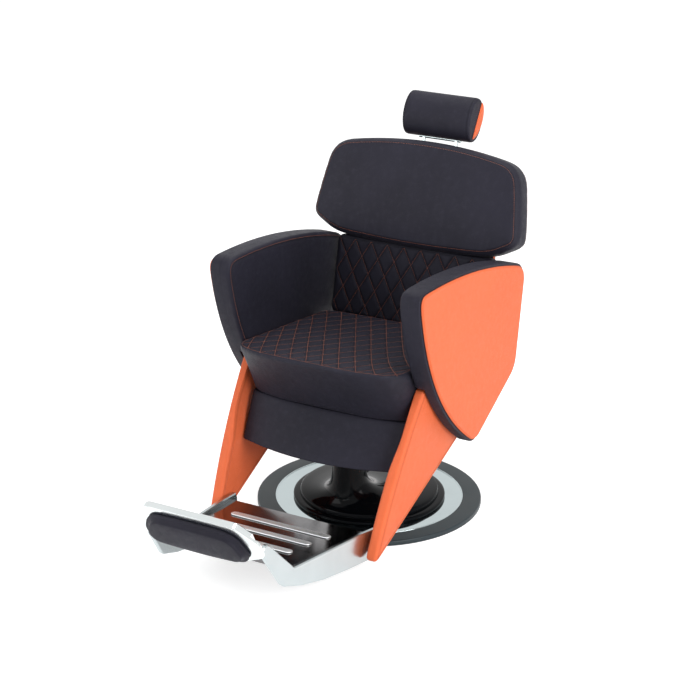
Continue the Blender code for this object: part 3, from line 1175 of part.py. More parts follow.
# ---------------------------------------------------------------- recline strut and handle
def make_recline():
    """Hinge ears on the frame, the axle with its fork, the strut and its rod."""
    top = FRAME_Z + FRAME_TUBE - 0.001
    for name, side in SIDES:
        outline = [(FRAME_REAR_Y + GAP, FRAME_Z), (FRAME_REAR_Y + 0.030, FRAME_Z)]
        for i in range(7):
            turn = radians(-20 + 200 * i / 6)
            outline.append((PIVOT_Y + 0.019 * cos(turn), PIVOT_Z + 0.019 * sin(turn)))
        outline += [(SEAT_REAR_Y + 0.004, CUSHION_Z - 0.003), (SEAT_REAR_Y - 0.006, top),
                    (FRAME_REAR_Y + GAP, top)]
        ear = add("recline_ear_" + name, "seat", STEEL,
                  loft([[(side * x, y, z) for y, z in outline] for x in (EAR_X, EAR_X + EAR_THICKNESS)]))
        cut_or_join(ear, "ear_bore_tool_" + name, "seat",
                    rod((side * (EAR_X - 0.01), PIVOT_Y, PIVOT_Z),
                        (side * (EAR_X + EAR_THICKNESS + 0.01), PIVOT_Y, PIVOT_Z),
                        AXLE_RADIUS + RUNNING_GAP, 24))
    axle = add("recline_axle", "back", BRIGHT_STEEL,
               rod((-FRAME_HALF_WIDTH - 0.003, PIVOT_Y, PIVOT_Z),
                   (FRAME_HALF_WIDTH + 0.003, PIVOT_Y, PIVOT_Z), AXLE_RADIUS, 24))
    swing = RECLINE_LIMIT / 2
    down = Vector((0, sin(swing), -cos(swing)))
    across = Vector((0, cos(swing), sin(swing)))
    pivot = Vector((0, PIVOT_Y, PIVOT_Z))
    fork = []
    for end in (-1, 1):
        inner = STRUT_X + end * (ROD_EYE_THICKNESS / 2 + RUNNING_GAP)
        outer = inner + end * FORK_THICKNESS
        outline = [pivot + across * 0.013 - down * 0.004, pivot + across * 0.010 + down * STRUT_LEVER,
                   pivot + across * 0.006 + down * (STRUT_LEVER + 0.008),
                   pivot - across * 0.006 + down * (STRUT_LEVER + 0.008),
                   pivot - across * 0.010 + down * STRUT_LEVER, pivot - across * 0.013 - down * 0.004]
        fork.append(loft([[point + Vector((x, 0, 0)) for point in outline] for x in (inner, outer)]))
    reach = ROD_EYE_THICKNESS / 2 + RUNNING_GAP + FORK_THICKNESS
    cut_or_join(axle, "fork_tool", "back", merge(*fork), "UNION")
    cut_or_join(axle, "fork_pin_tool", "back",
                rod((STRUT_X - reach - 0.002, ROD_PIN_Y, ROD_PIN_Z),
                    (STRUT_X + reach + 0.002, ROD_PIN_Y, ROD_PIN_Z), ROD_PIN_RADIUS), "UNION")
    add("strut_anchor", "seat", STEEL,
        box((STRUT_X - 0.014, STRUT_FRONT_Y - 0.016, STRUT_Z - 0.012),
            (STRUT_X + 0.014, STRUT_FRONT_Y - GAP, FRAME_Z - GAP)))
    end_y = STRUT_FRONT_Y + STRUT_LENGTH
    bore = ROD_RADIUS + RUNNING_GAP
    rings = []
    for radius, y in ((STRUT_RADIUS, STRUT_FRONT_Y), (STRUT_RADIUS, end_y - 0.003),
                      (STRUT_RADIUS - 0.003, end_y), (bore, end_y), (bore, STRUT_FRONT_Y + 0.010)):
        rings.append([(STRUT_X + radius * cos(2 * pi * i / SMALL_SIDES), y,
                       STRUT_Z + radius * sin(2 * pi * i / SMALL_SIDES)) for i in range(SMALL_SIDES)])
    add("strut_cylinder", "seat", GLOSS_BLACK, loft(rings))
    travel = 2 * STRUT_LEVER * sin(swing)
    slot = ROD_PIN_RADIUS + 0.0012
    eye = []
    for radius, half, neck in ((ROD_EYE_RADIUS * 0.75, ROD_EYE_RADIUS, ROD_EYE_NECK),
                               (slot, ROD_EYE_SLOT, 0)):
        ring = []
        for i in range(12):
            turn = 2 * pi * i / 12
            lift = (half - radius) * (1 if sin(turn) > 0.01 else -1 if sin(turn) < -0.01 else 0)
            ring.append((ROD_PIN_Y + radius * cos(turn) - (neck if cos(turn) < -0.6 else 0),
                         STRUT_Z + radius * sin(turn) + lift))
        eye.append(ring)
    half = ROD_EYE_THICKNESS / 2
    rings = [[(STRUT_X + x, y, z) for y, z in eye[k]]
             for k, x in ((0, -half), (0, half), (1, half), (1, -half))]
    rod_piece = add("strut_rod", "strut_rod", CHROME, loft(rings, closed=True))
    cut_or_join(rod_piece, "rod_bar_tool", "strut_rod",
                rod((STRUT_X, STRUT_FRONT_Y + 0.014 + travel, STRUT_Z),
                    (STRUT_X, ROD_PIN_Y - ROD_EYE_NECK - 0.007, STRUT_Z), ROD_RADIUS), "UNION")


def make_handle():
    """Handle under the right arm that frees the strut."""
    bracket = add("handle_bracket", "seat", STEEL,
                  box((-FRAME_HALF_WIDTH, HANDLE_Y - 0.020, HANDLE_Z - 0.014),
                      (-FRAME_HALF_WIDTH + 0.008, HANDLE_Y + 0.020, FRAME_Z - GAP)))
    cut_or_join(bracket, "handle_bore_tool", "seat",
                rod((-FRAME_HALF_WIDTH - 0.01, HANDLE_Y, HANDLE_Z),
                    (-FRAME_HALF_WIDTH + 0.02, HANDLE_Y, HANDLE_Z), HANDLE_SHAFT_RADIUS + RUNNING_GAP))
    handle = add("recline_handle", "recline_handle", STEEL,
                 rod((-FRAME_HALF_WIDTH + 0.014, HANDLE_Y, HANDLE_Z),
                     (-HANDLE_X + 0.004, HANDLE_Y, HANDLE_Z), HANDLE_SHAFT_RADIUS))
    tail = (HANDLE_Y + HANDLE_LENGTH, HANDLE_Z - HANDLE_DROP)
    reach = hypot(HANDLE_LENGTH, HANDLE_DROP)
    tip = (0.005 * HANDLE_DROP / reach, 0.005 * HANDLE_LENGTH / reach)
    outline = bowed_outline([(HANDLE_Y - 0.011, HANDLE_Z - 0.008), (tail[0] - tip[0], tail[1] - tip[1]),
                             (tail[0] + tip[0], tail[1] + tip[1]), (HANDLE_Y - 0.006, HANDLE_Z + 0.011)],
                            (0, 0, 0, 0), (0.006, 0.001, 0.001, 0.006), 1, 2)
    cut_or_join(handle, "handle_arm_tool", "recline_handle",
                plate(outline, lambda u, v, w: Vector((-HANDLE_X - w, u, v)), [(0, -0.005), (0, 0.005)]),
                "UNION")
    along = Vector((0, HANDLE_LENGTH, -HANDLE_DROP)).normalized()
    start = Vector((-HANDLE_X, tail[0], tail[1])) + along * GAP
    side = Vector((1, 0, 0))
    other = along.cross(side)
    rings = []
    for radius, reach in ((0.006, 0), (0.009, 0.004), (KNOB_RADIUS, 0.014), (KNOB_RADIUS, 0.024),
                          (0.009, 0.033), (0.004, 0.036)):
        rings.append([start + along * reach + side * (radius * cos(2 * pi * i / SMALL_SIDES))
                      + other * (radius * sin(2 * pi * i / SMALL_SIDES)) for i in range(SMALL_SIDES)])
    add("recline_knob", "recline_handle", PLASTIC, loft(rings))


# ---------------------------------------------------------------- headrest
def roll_ring(across, scale):
    """Outline of the headrest roll at a place along it: an oval that leans back."""
    middle = BAR_POINT + roll_up() * ROLL_HALF_HEIGHT - roll_back() * ROLL_FORWARD
    ring = []
    sides = 20
    for i in range(sides):
        turn = 2 * pi * i / sides - pi / 2
        ring.append(middle + Vector((across, 0, 0)) + roll_up() * (ROLL_HALF_HEIGHT * scale * sin(turn))
                    + roll_back() * (ROLL_HALF_DEPTH * scale * cos(turn)))
    return ring


def roll_up():
    """The roll's long axis in side view."""
    return Vector((0, sin(ROLL_LEAN), cos(ROLL_LEAN)))


def roll_back():
    """The roll's short axis in side view, to the rear."""
    return Vector((0, cos(ROLL_LEAN), -sin(ROLL_LEAN)))


def make_headrest():
    """Guide block, posts with their cross bar, and the roll with its end caps."""
    guide_low = GUIDE_TOP_Z - GUIDE_LENGTH * WING_UP.z
    rings = []
    half = GUIDE_WIDTH / 2
    deep = 2 * POST_DEPTH
    base = wing_point(0, 0, BOARD_DEPTH)
    for z in (guide_low, GUIDE_TOP_Z):
        foot = base + WING_UP * ((z - base.z) / WING_UP.z)
        rings.append([foot + Vector((x, 0, 0)) + WING_BACK * d
                      for x, d in ((-half, GAP), (half, GAP), (half, deep), (-half, deep))])
    guide = add("headrest_guide", "back", PLASTIC, loft(rings))
    bores = []
    posts = []
    for _, side in SIDES:
        across = Vector((side * POST_SPACING / 2, 0, 0))
        head = BAR_POINT + across
        bores.append(rod(head, head - WING_UP * (POST_LENGTH + 0.05), POST_RADIUS + RUNNING_GAP))
        posts.append(rod(head, head - WING_UP * POST_LENGTH, POST_RADIUS))
    cut_or_join(guide, "guide_bores_tool", "back", merge(*bores))
    bar = add("headrest_posts", "headrest", CHROME,
              rod(BAR_POINT - Vector((BAR_HALF_LENGTH, 0, 0)), BAR_POINT + Vector((BAR_HALF_LENGTH, 0, 0)),
                  BAR_RADIUS + 0.0004))
    cut_or_join(bar, "posts_tool", "headrest", merge(*posts), "UNION")
    rings = []
    for distance, scale in ((0, 0.86), (0.3, 0.955), (1, 1)):
        rings.append(roll_ring(-ROLL_HALF_LENGTH + ROLL_EDGE * distance, scale))
    for share in (0.4, 0.6):
        rings.append(roll_ring(ROLL_HALF_LENGTH * (2 * share - 1), 1))
    for distance, scale in ((1, 1), (0.3, 0.955), (0, 0.86)):
        rings.append(roll_ring(ROLL_HALF_LENGTH - ROLL_EDGE * distance, scale))
    roll = add("headrest_roll", "headrest_roll", DARK_LEATHER, loft(rings), 50)
    cut_or_join(roll, "bar_groove_tool", "headrest_roll",
                rod(BAR_POINT - Vector((BAR_HALF_LENGTH + 0.003, 0, 0)),
                    BAR_POINT + Vector((BAR_HALF_LENGTH + 0.003, 0, 0)), BAR_RADIUS + 0.0010))
    for name, side in SIDES:
        rings = []
        for reach, scale in ((GAP, 0.84), (CAP_THICKNESS * 0.5, 0.80), (CAP_THICKNESS * 0.85, 0.62),
                             (CAP_THICKNESS, 0.35)):
            rings.append(roll_ring(side * (ROLL_HALF_LENGTH + reach), scale))
        add("headrest_cap_" + name, "headrest_roll", ORANGE_LEATHER, loft(rings), 50)


make_base()
make_cover()
make_pump()
make_pedal()
make_ram_and_swivel()
make_frame()
make_seat_cushion()
make_arms()
make_legs()
make_skirt()
make_footrest()
make_calf_pad()
make_lower_back()
make_wing()
make_back_frame()
make_back_cover()
make_recline()
make_handle()
make_headrest()
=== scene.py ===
"""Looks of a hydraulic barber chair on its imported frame.

The file is laid out as an add-on and run as a script.  Metres, +Z up, the sitter faces -Y and
the sitter's left is +X; the origin is the centre of the round base on the floor.
"""

import bpy
import numpy as np
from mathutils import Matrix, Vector
from mathutils.bvhtree import BVHTree


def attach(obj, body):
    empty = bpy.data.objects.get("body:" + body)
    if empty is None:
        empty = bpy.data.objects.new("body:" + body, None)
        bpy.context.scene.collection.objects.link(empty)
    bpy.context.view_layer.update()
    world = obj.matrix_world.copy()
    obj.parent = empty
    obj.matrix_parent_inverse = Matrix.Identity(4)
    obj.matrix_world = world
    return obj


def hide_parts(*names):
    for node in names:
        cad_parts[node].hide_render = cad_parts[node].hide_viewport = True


bl_info = {
    "name": "Hydraulic barber chair",
    "version": (1, 0, 0),
    "blender": (4, 5, 0),
    "location": "3D View > Sidebar > Barber chair",
    "description": "Dresses the frame of a barber chair with upholstery, metal and a stage",
    "category": "Object",
}

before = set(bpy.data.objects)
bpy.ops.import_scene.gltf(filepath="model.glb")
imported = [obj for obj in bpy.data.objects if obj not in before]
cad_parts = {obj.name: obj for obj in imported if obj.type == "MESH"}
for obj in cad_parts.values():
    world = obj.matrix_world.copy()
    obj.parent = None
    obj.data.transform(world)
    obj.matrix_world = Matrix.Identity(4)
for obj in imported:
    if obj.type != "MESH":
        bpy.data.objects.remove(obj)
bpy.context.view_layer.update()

SIDES = (("left", 1), ("right", -1))
BASE_BODY = "base"
GAP = 0.0003                    # between parts that lie on one another

# base: radii and heights of its turned parts
RING_RADIUS, RING_TOP, RING_EDGE, BASE_FOOT = 0.340, 0.0155, 0.00465, 0.0083
DISC_RADIUS, DISC_INNER, DISC_TOP, BEAD = 0.2849, 0.212, 0.0133, 0.0018
COVER_FOOT, COVER_WALL = 0.0136, 0.004
COLUMN_RADIUS, COLUMN_TOP, COLUMN_SETBACK = 0.05, 0.2487, 0.125
SLOT_X, SLOT_Y, SLOT_Z = (-0.018, 0.018), (-0.087, -0.014), (0.0985, 0.1355)

# seat
SEAT_HALF, SEAT_REAR, SEAT_FRONT, SEAT_BOW, SEAT_RAKE = 0.2715, 0.203, -0.310, 0.070, 0.081
SEAT_FULLNESS = 4
SEAT_FRONT_TOP, SEAT_REAR_TOP, SEAT_CROWN, SEAT_FOOT = 0.5585, 0.506, 0.005, 0.3886
SEAT_ACROSS, SEAT_ALONG, SEAT_LONG = 20, 12, 0.56
ROLL = 0.016                    # how far a cushion's edge rolls down
BORDER = 0.0099                 # a cushion's border seam to its side
SUNK = 0.003                    # how much lower a cushion's face starts before it is swelled
# arms and legs
ARM_CORNERS = ((-0.343, 0.808), (0.016, 0.246), (0.285, 0.396), (0.340, 0.709))
ARM_BOWS, ARM_SETBACKS = (0.079, 0, 0, 0.031), (0.045, 0.034, 0.040, 0.055)
ARM_INNER, ARM_FLAP, ARM_FACE, ARM_OUTER = 0.275, 0.306, 0.3390, 0.346
LEDGE_Y, LEDGE_Z, LEDGE_SLOPE = -0.225, 0.490, -0.20
SEAM = 0.0125                   # a side seam to the outline
LEG_OUTER, LEG_THICK, LEG_LEAN = 0.3015, 0.034, 0.051
SEAT_CLEAR = 0.2737             # where a leg stands clear of the seat cushion
LEG_CORNERS = ((-0.2235, 0.4891), (-0.472, 0.033), (0.045, 0.266), (0.075, 0.4294))
LEG_BOWS, LEG_SETBACKS = (0.020, 0, 0, 0), (0.014, 0.044, 0.020, 0.020)
# skirt
SKIRT_BOTTOM, SKIRT_TOP_Y, SKIRT_TOP = (-0.312, 0.258), -0.243, 0.3863
SKIRT_BOWS, SKIRT_RETURN, SKIRT_CORNER, SKIRT_WALL = (0.052, 0.024), 0.060, 0.016, 0.010
SKIRT_BEND, SKIRT_SIDE = 0.82, 0.88    # shares of the line at which the corner starts and ends
# back
BACK_Y, BACK_Z, BACK_SLOPE, BACK_HALF = 0.219, 0.502, 0.200, 0.268
BACK_FOOT, BACK_HEAD, BACK_THICK, BACK_CROWN = 0.487, 0.721, 0.052, 0.009
BACK_ACROSS, BACK_ALONG = 18, 4.6
WING_Y, WING_Z, WING_SLOPE, WING_THICK = 0.253, 0.808, 0.322, 0.081
WING_CORNERS = ((-0.262, -0.064), (0.262, -0.064), (0.352, -0.016), (0.314, 0.214),
                (-0.314, 0.214), (-0.352, -0.016))
WING_BOWS = (0.0105, 0.002, 0.004, 0.036, 0.004, 0.002)
WING_SETBACKS = (0.030, 0.030, 0.026, 0.056, 0.056, 0.026)
BOARD = 0.012
COVER_LEVELS = ((0.500, 0.252), (0.520, 0.260), (0.600, 0.262), (0.660, 0.250), (0.700, 0.238),
                (0.740, 0.242), (0.770, 0.264), (0.800, 0.284), (0.860, 0.290), (0.900, 0.284),
                (0.930, 0.272), (0.955, 0.254), (0.975, 0.230), (0.992, 0.190))  # height, half width
SHELL_DEEP, SHELL_CORNER, SHELL_WALL, SHELL_SWELL = 0.0265, 0.018, 0.005, 0.0022
# headrest
BAR = np.array((0.0, 0.433007, 1.030))
ROLL_HALF, ROLL_HIGH, ROLL_DEEP, ROLL_LEAN, ROLL_FORWARD = 0.110, 0.066, 0.046, np.radians(21), 0.0125
ROLL_COVER = 1.03               # cover to core
BAR_CLEAR = 0.0078              # the cover's way round the bar of the posts
# footrest
TREAD_Y, TREAD_Z, TREAD_SLOPE = -0.515, 0.118, 0.120
STRIPS = ((-0.515, 0.163), (-0.597, 0.149), (-0.682, 0.140))    # y, half length
STRIP_HALF, RIB_PITCH = 0.0145, 0.0066
FLIP_Y, FLIP_Z, FLIP_LEAN = -0.894, 0.245, np.radians(27.9)
CALF_CORNERS = ((-0.132, 0.118), (-0.166, 0.042), (-0.138, 0.003), (0.138, 0.003),
                (0.166, 0.042), (0.132, 0.118))
# camera
LENS, SENSOR, TARGET = 109.46, 36.0, (-0.1132, 0, 0.5010)


# ------------------------------------------------------------------ settings a user changes
def colour_setting(name, words, value):
    """A colour the user may change, as linear light."""
    return bpy.props.FloatVectorProperty(name=name, description=words, subtype="COLOR", size=3,
                                         min=0, max=1, default=value)


def setting(name, words, value, unit="LENGTH", **limits):
    """A number the user may change."""
    return bpy.props.FloatProperty(name=name, description=words, default=value, unit=unit, **limits)


class ChairColours(bpy.types.PropertyGroup):
    """Colours of the covers, threads and paints, as linear light."""
    dark_leather: colour_setting("Dark leather", "Seat, back, arms and skirt", (0.0185, 0.0175, 0.0280))
    orange_leather: colour_setting("Orange leather", "Outer panels and side legs", (0.86, 0.168, 0.060))
    dark_thread: colour_setting("Quilting thread", "Thread on the dark leather", (0.26, 0.075, 0.042))
    orange_thread: colour_setting("Panel thread", "Thread on the orange leather", (0.50, 0.12, 0.055))
    ring_paint: colour_setting("Ring paint", "Painted ring round the base", (0.022, 0.034, 0.040))


class ChairUpholstery(bpy.types.PropertyGroup):
    """Sizes of the padding, the sewn channels and the stitches."""
    voxel: setting("Cover mesh", "Edge length of a cushion's mesh", 0.005, min=0.004, max=0.01)
    pressure: setting("Filling", "Pressure that swells a cushion", 4.0, "NONE", min=0, max=10)
    channel_depth: setting("Channel depth", "Depth of a sewn channel", 0.0036, min=0, max=0.01)
    channel_width: setting("Channel width", "Half width of a channel", 0.0042, min=0.001, max=0.01)
    stitch_pitch: setting("Stitch pitch", "Distance between stitches", 0.0056, min=0.003, max=0.02)
    thread_radius: setting("Thread radius", "Radius of the thread", 0.0008, min=0.0003, max=0.002)


class ChairStage(bpy.types.PropertyGroup):
    """Camera place and strength of the lamps."""
    azimuth: setting("Azimuth", "Camera's turn to the chair's left", np.radians(30.07), "ROTATION")
    elevation: setting("Elevation", "Camera's height angle", np.radians(20.18), "ROTATION")
    distance: setting("Distance", "Camera to its target", 6.127, min=1)
    key: setting("Key", "Power of the large lamp over the chair's left", 118, "POWER", min=0)
    fill: setting("Fill", "Power of the lamp on the other side", 50, "POWER", min=0)
    sky: setting("Surround", "Strength of the white surround", 0.48, "NONE", min=0)


def upholstery():
    """The user's sizes of padding, channels and stitches."""
    return bpy.context.scene.chair_upholstery


# ------------------------------------------------------------------ outlines and surfaces
def unit(rows):
    """Rows of vectors, each divided by its own length."""
    return rows / np.maximum(np.linalg.norm(rows, axis=-1, keepdims=True), 1e-12)


def bowed_outline(corners, bows, setbacks, edge_steps=48, corner_steps=18):
    """Closed outline: each edge is a parabola that stands bow outwards in its middle, and each
    corner is a quadratic curve that starts and ends its setback along the two edges."""
    corners = np.array(corners, float)
    count = len(corners)
    ahead = np.roll(corners, -1, 0)
    steps = ahead - corners
    lengths = np.linalg.norm(steps, axis=1)
    normals = np.stack([steps[:, 1], -steps[:, 0]], 1) / lengths[:, None]

    def along(i, share):
        """Points of edge i at shares of its length: the chord and 4 bow share (1 - share)."""
        share = np.atleast_1d(share)[:, None]
        return corners[i] + steps[i] * share + normals[i] * (4 * bows[i] * share * (1 - share))
    rows = []
    for i in range(count):
        t = np.linspace(0, 1, corner_steps)[:, None]
        start = along(i - 1, 1 - setbacks[i] / lengths[i - 1])
        end = along(i, setbacks[i] / lengths[i])
        rows.append((1 - t) ** 2 * start + 2 * t * (1 - t) * corners[i] + t ** 2 * end)
        first = setbacks[i] / lengths[i]
        last = 1 - setbacks[(i + 1) % count] / lengths[i]
        rows.append(along(i, np.linspace(first, last, edge_steps + 1)[1:-1]))
    return even(np.concatenate(rows), count * (edge_steps + corner_steps) // 2)


def even(line, count, closed=True):
    """The same line with its points at equal distances along it."""
    if closed:
        line = np.concatenate([line, line[:1]])
    run = np.concatenate([[0], np.cumsum(np.linalg.norm(np.diff(line, axis=0), axis=1))])
    places = np.linspace(0, run[-1], count + 1 if closed else count)
    made = np.stack([np.interp(places, run, line[:, k]) for k in range(line.shape[1])], 1)
    return made[:-1] if closed else made


def inset(outline, distance):
    """The outline moved inwards by distance along its normals, less where it bends too tightly."""
    before = outline - np.roll(outline, 1, 0)
    after = np.roll(outline, -1, 0) - outline
    first = unit(np.stack([-before[:, 1], before[:, 0]], 1))
    second = unit(np.stack([-after[:, 1], after[:, 0]], 1))
    mean = unit(first + second)
    length = (np.linalg.norm(before, axis=1) + np.linalg.norm(after, axis=1)) / 2
    turn = unit(before)[:, 0] * unit(after)[:, 1] - unit(before)[:, 1] * unit(after)[:, 0]
    radius = length / np.maximum(turn, 1e-4)
    wide = np.min([np.roll(radius, k) for k in range(-6, 7)], axis=0)
    wide = np.mean([np.roll(wide, k) for k in range(-6, 7)], axis=0)
    reach = distance if distance < 0 else np.minimum(distance, 0.8 * wide)
    return outline + mean * np.reshape(reach, (-1, 1))


def outward(points, quads, tris):
    """A closed shape with its faces turned outwards, told by the sign of its volume."""
    quads, tris = np.array(quads, int).reshape(-1, 4), np.array(tris, int).reshape(-1, 3)
    every = np.concatenate([tris, quads[:, [0, 1, 2]], quads[:, [0, 2, 3]]])
    corner = points[every] - points.mean(0)
    if np.einsum("ij,ij->", corner[:, 0], np.cross(corner[:, 1], corner[:, 2])) < 0:
        quads, tris = quads[:, ::-1], tris[:, ::-1]
    return points, quads, tris


def band(rows, columns, looped):
    """Four-cornered faces of a grid whose columns close on themselves, and its rows too if looped."""
    i = np.arange(rows if looped else rows - 1)[:, None]
    j = np.arange(columns)[None, :]
    k, m = (i + 1) % rows, (j + 1) % columns
    return np.stack([i * columns + j, i * columns + m, k * columns + m, k * columns + j],
                    -1).reshape(-1, 4)


def capped(rings):
    """Closed surface through rings (rows, points, 3); each end closes on its own middle point."""
    rows, columns, _ = rings.shape
    points = np.concatenate([rings.reshape(-1, 3), [rings[0].mean(0)], [rings[-1].mean(0)]])
    j = np.arange(columns)
    k = (j + 1) % columns
    last = (rows - 1) * columns
    tris = np.concatenate([np.stack([np.full(columns, rows * columns), k, j], 1),
                           np.stack([np.full(columns, rows * columns + 1), last + j, last + k], 1)])
    return outward(points, band(rows, columns, False), tris)


def looped(rings):
    """Closed ring-shaped surface: the last ring joins the first."""
    rows, columns, _ = rings.shape
    return outward(rings.reshape(-1, 3), band(rows, columns, True), [])


def together(*shapes):
    """Several closed shapes as one set of points and faces."""
    starts = np.cumsum([0] + [len(s[0]) for s in shapes])[:-1]
    return (np.concatenate([s[0] for s in shapes]),
            np.concatenate([s[1] + at for s, at in zip(shapes, starts)]),
            np.concatenate([s[2] + at for s, at in zip(shapes, starts)]))


def slab_rings(outline, place, rim, crown=0.0, back_crown=0.0, steps=16):
    """Rings of a padded plate: they grow from the middle of its back, follow the rim's (inset, depth) pairs
    and shrink to the middle of its front, whose height swells as 1 - share to the fourth."""
    rim = np.array(rim, float)
    middle = outline.mean(0)
    rows = []
    edge = inset(outline, rim[0, 0])
    for share in np.linspace(0.04, 1, steps)[:-1]:
        flat = middle + (edge - middle) * share
        rows.append(place(*flat.T, rim[0, 1] - back_crown * (1 - share ** 4)))
    for distance, depth in rim:
        rows.append(place(*inset(outline, distance).T, depth))
    edge = inset(outline, rim[-1, 0])
    for share in np.linspace(1, 0.04, steps)[1:]:
        flat = middle + (edge - middle) * share
        rows.append(place(*flat.T, rim[-1, 1] + crown * (1 - share ** 4)))
    return np.array(rows)


def slab(*plate):
    """Padded plate through the rings of slab_rings."""
    return capped(slab_rings(*plate))


def quarter(inner, outer, steps=6):
    """Rim pairs of a quarter-round edge from (inset, depth) inner to outer, which rounds first."""
    turn = np.linspace(0, np.pi / 2, steps)
    return [(inner[0] + (outer[0] - inner[0]) * np.sin(t),
             inner[1] + (outer[1] - inner[1]) * (1 - np.cos(t))) for t in turn]


def rounded_rows(rows, steps):
    """Points of a curve through the rows: Hermite arcs whose slope at a row is half the way from
    the row before it to the row after it."""
    rows = np.array(rows, float)
    wide = np.concatenate([2 * rows[:1] - rows[1:2], rows, 2 * rows[-1:] - rows[-2:-1]])
    slope = (wide[2:] - wide[:-2]) / 2
    t = np.linspace(0, 1, steps + 1)[:-1][None, :, None]
    first, last = rows[:-1, None], rows[1:, None]
    made = (first * (2 * t ** 3 - 3 * t ** 2 + 1) + last * (3 * t ** 2 - 2 * t ** 3)
            + slope[:-1, None] * (t ** 3 - 2 * t ** 2 + t) + slope[1:, None] * (t ** 3 - t ** 2))
    return np.concatenate([made.reshape(-1, rows.shape[1]), rows[-1:]])


def turned(profile, sides=144):
    """Closed profile of (radius, height, middle y) carried round: x = radius cos, y = middle +
    radius sin."""
    profile = np.array(profile, float)
    angle = (np.arange(sides) * 2 * np.pi / sides)[:, None]
    middle = profile[:, 2] if profile.shape[1] > 2 else 0.0
    return looped(np.stack([profile[:, 0] * np.cos(angle), middle + profile[:, 0] * np.sin(angle),
                            profile[:, 1] + 0 * angle], -1))


def wing_place(u, v, w):
    """A place in the upper cushion's axes: across, up its slope and back from its front."""
    tilt = np.hypot(WING_SLOPE, 1)
    return np.stack([u + 0 * w, WING_Y + (WING_SLOPE * v + w) / tilt,
                     WING_Z + (v - WING_SLOPE * w) / tilt], -1)


def back_place(u, v, w):
    """A place in the lower cushion's axes: across, up from its foot and out of its front."""
    tilt = np.hypot(BACK_SLOPE, 1)
    foot = BACK_Y + BACK_SLOPE * (BACK_FOOT - BACK_Z)
    return np.stack([u + 0 * w, foot + (BACK_SLOPE * v - w) / tilt,
                     BACK_FOOT + (v + BACK_SLOPE * w) / tilt], -1)


def flip_place(u, v, w):
    """A place on the calf pad: across, up from the pad's lower corners and out of its front."""
    up = np.array((0, -np.sin(FLIP_LEAN), np.cos(FLIP_LEAN)))
    out = np.array((0, -np.cos(FLIP_LEAN), -np.sin(FLIP_LEAN)))
    corner = np.array((0, FLIP_Y, FLIP_Z)) - up * 0.029 + out * 0.028
    u, v, w = np.broadcast_arrays(u, v, w)
    return corner + u[..., None] * np.array((1, 0, 0)) + v[..., None] * up + w[..., None] * out


def leg_inner(z):
    """How far a leg's inner face stands from the middle at a height."""
    return LEG_OUTER - LEG_THICK - LEG_LEAN * (LEDGE_Z - z)


def ledge(y):
    """Height of the step under an arm's thick part."""
    return LEDGE_Z + LEDGE_SLOPE * (y - LEDGE_Y)


def smooth_step(value, low, high):
    """0 below low, 1 above high and a soft curve between them."""
    share = np.clip((value - low) / (high - low), 0, 1)
    return share * share * (3 - 2 * share)


# ------------------------------------------------------------------ meshes
def put(mesh, points):
    """Gives a mesh's points new places."""
    mesh.vertices.foreach_set("co", np.ascontiguousarray(points, np.float32).ravel())
    mesh.update()


def read(mesh, what="co"):
    """A mesh's points, or their normals, as rows of three."""
    rows = mesh.vertices if what == "co" else mesh.vertex_normals
    flat = np.empty(len(mesh.vertices) * 3, np.float32)
    rows.foreach_get("co" if what == "co" else "vector", flat)
    return flat.reshape(-1, 3).astype(float)


def make_object(name, shape, finish):
    """A smooth mesh object from points, four-cornered faces and triangles."""
    points, quads, tris = shape
    mesh = bpy.data.meshes.new(name)
    loops = np.concatenate([quads.ravel(), tris.ravel()]).astype(np.int32)
    totals = np.concatenate([np.full(len(quads), 4), np.full(len(tris), 3)]).astype(np.int32)
    mesh.vertices.add(len(points))
    mesh.loops.add(len(loops))
    mesh.polygons.add(len(totals))
    mesh.vertices.foreach_set("co", points.astype(np.float32).ravel())
    mesh.loops.foreach_set("vertex_index", loops)
    starts = np.concatenate([[0], np.cumsum(totals)[:-1]]).astype(np.int32)
    mesh.polygons.foreach_set("loop_start", starts)
    mesh.polygons.foreach_set("loop_total", totals)
    mesh.polygons.foreach_set("use_smooth", np.ones(len(totals), bool))
    mesh.update(calc_edges=True)
    mesh.materials.append(FINISHES[finish])
    made = bpy.data.objects.new(name, mesh)
    bpy.context.scene.collection.objects.link(made)
    return made


def declare(piece, body, nodes=()):
    """Hangs a piece on its body and hides the frame's nodes that it replaces."""
    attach(piece, body)
    if nodes:
        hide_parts(*nodes)
    return piece


def add(name, shape, finish, body, nodes=()):
    """A new piece from a shape, declared."""
    return declare(make_object(name, shape, finish), body, nodes)


def sew(name, body, slot, finish, *shapes):
    """A new piece of thread from groups of stitches."""
    return add(name, together(*shapes), finish, body)


def settle(piece):
    """Turns a piece's modifiers into its mesh."""
    graph = bpy.context.evaluated_depsgraph_get()
    done = bpy.data.meshes.new_from_object(piece.evaluated_get(graph))
    old = piece.data
    piece.modifiers.clear()
    piece.data = done
    bpy.data.meshes.remove(old)
    done.polygons.foreach_set("use_smooth", np.ones(len(done.polygons), bool))
    return piece


def crisp(piece, degrees=32):
    """Keeps edges sharper than an angle crisp under smooth shading."""
    piece.data.set_sharp_from_angle(angle=np.radians(degrees))
    return piece


def relax(points, edges, rounds):
    """Taubin smoothing: each round moves points towards their neighbours' mean and part way back."""
    first = np.concatenate([edges[:, 0], edges[:, 1]])
    second = np.concatenate([edges[:, 1], edges[:, 0]])
    count = np.maximum(np.bincount(first, minlength=len(points)), 1)[:, None]
    for step in (0.5, -0.52) * rounds:
        mean = np.stack([np.bincount(first, points[second, k], len(points)) for k in range(3)], 1) / count
        points = points + (mean - points) * step
    return points


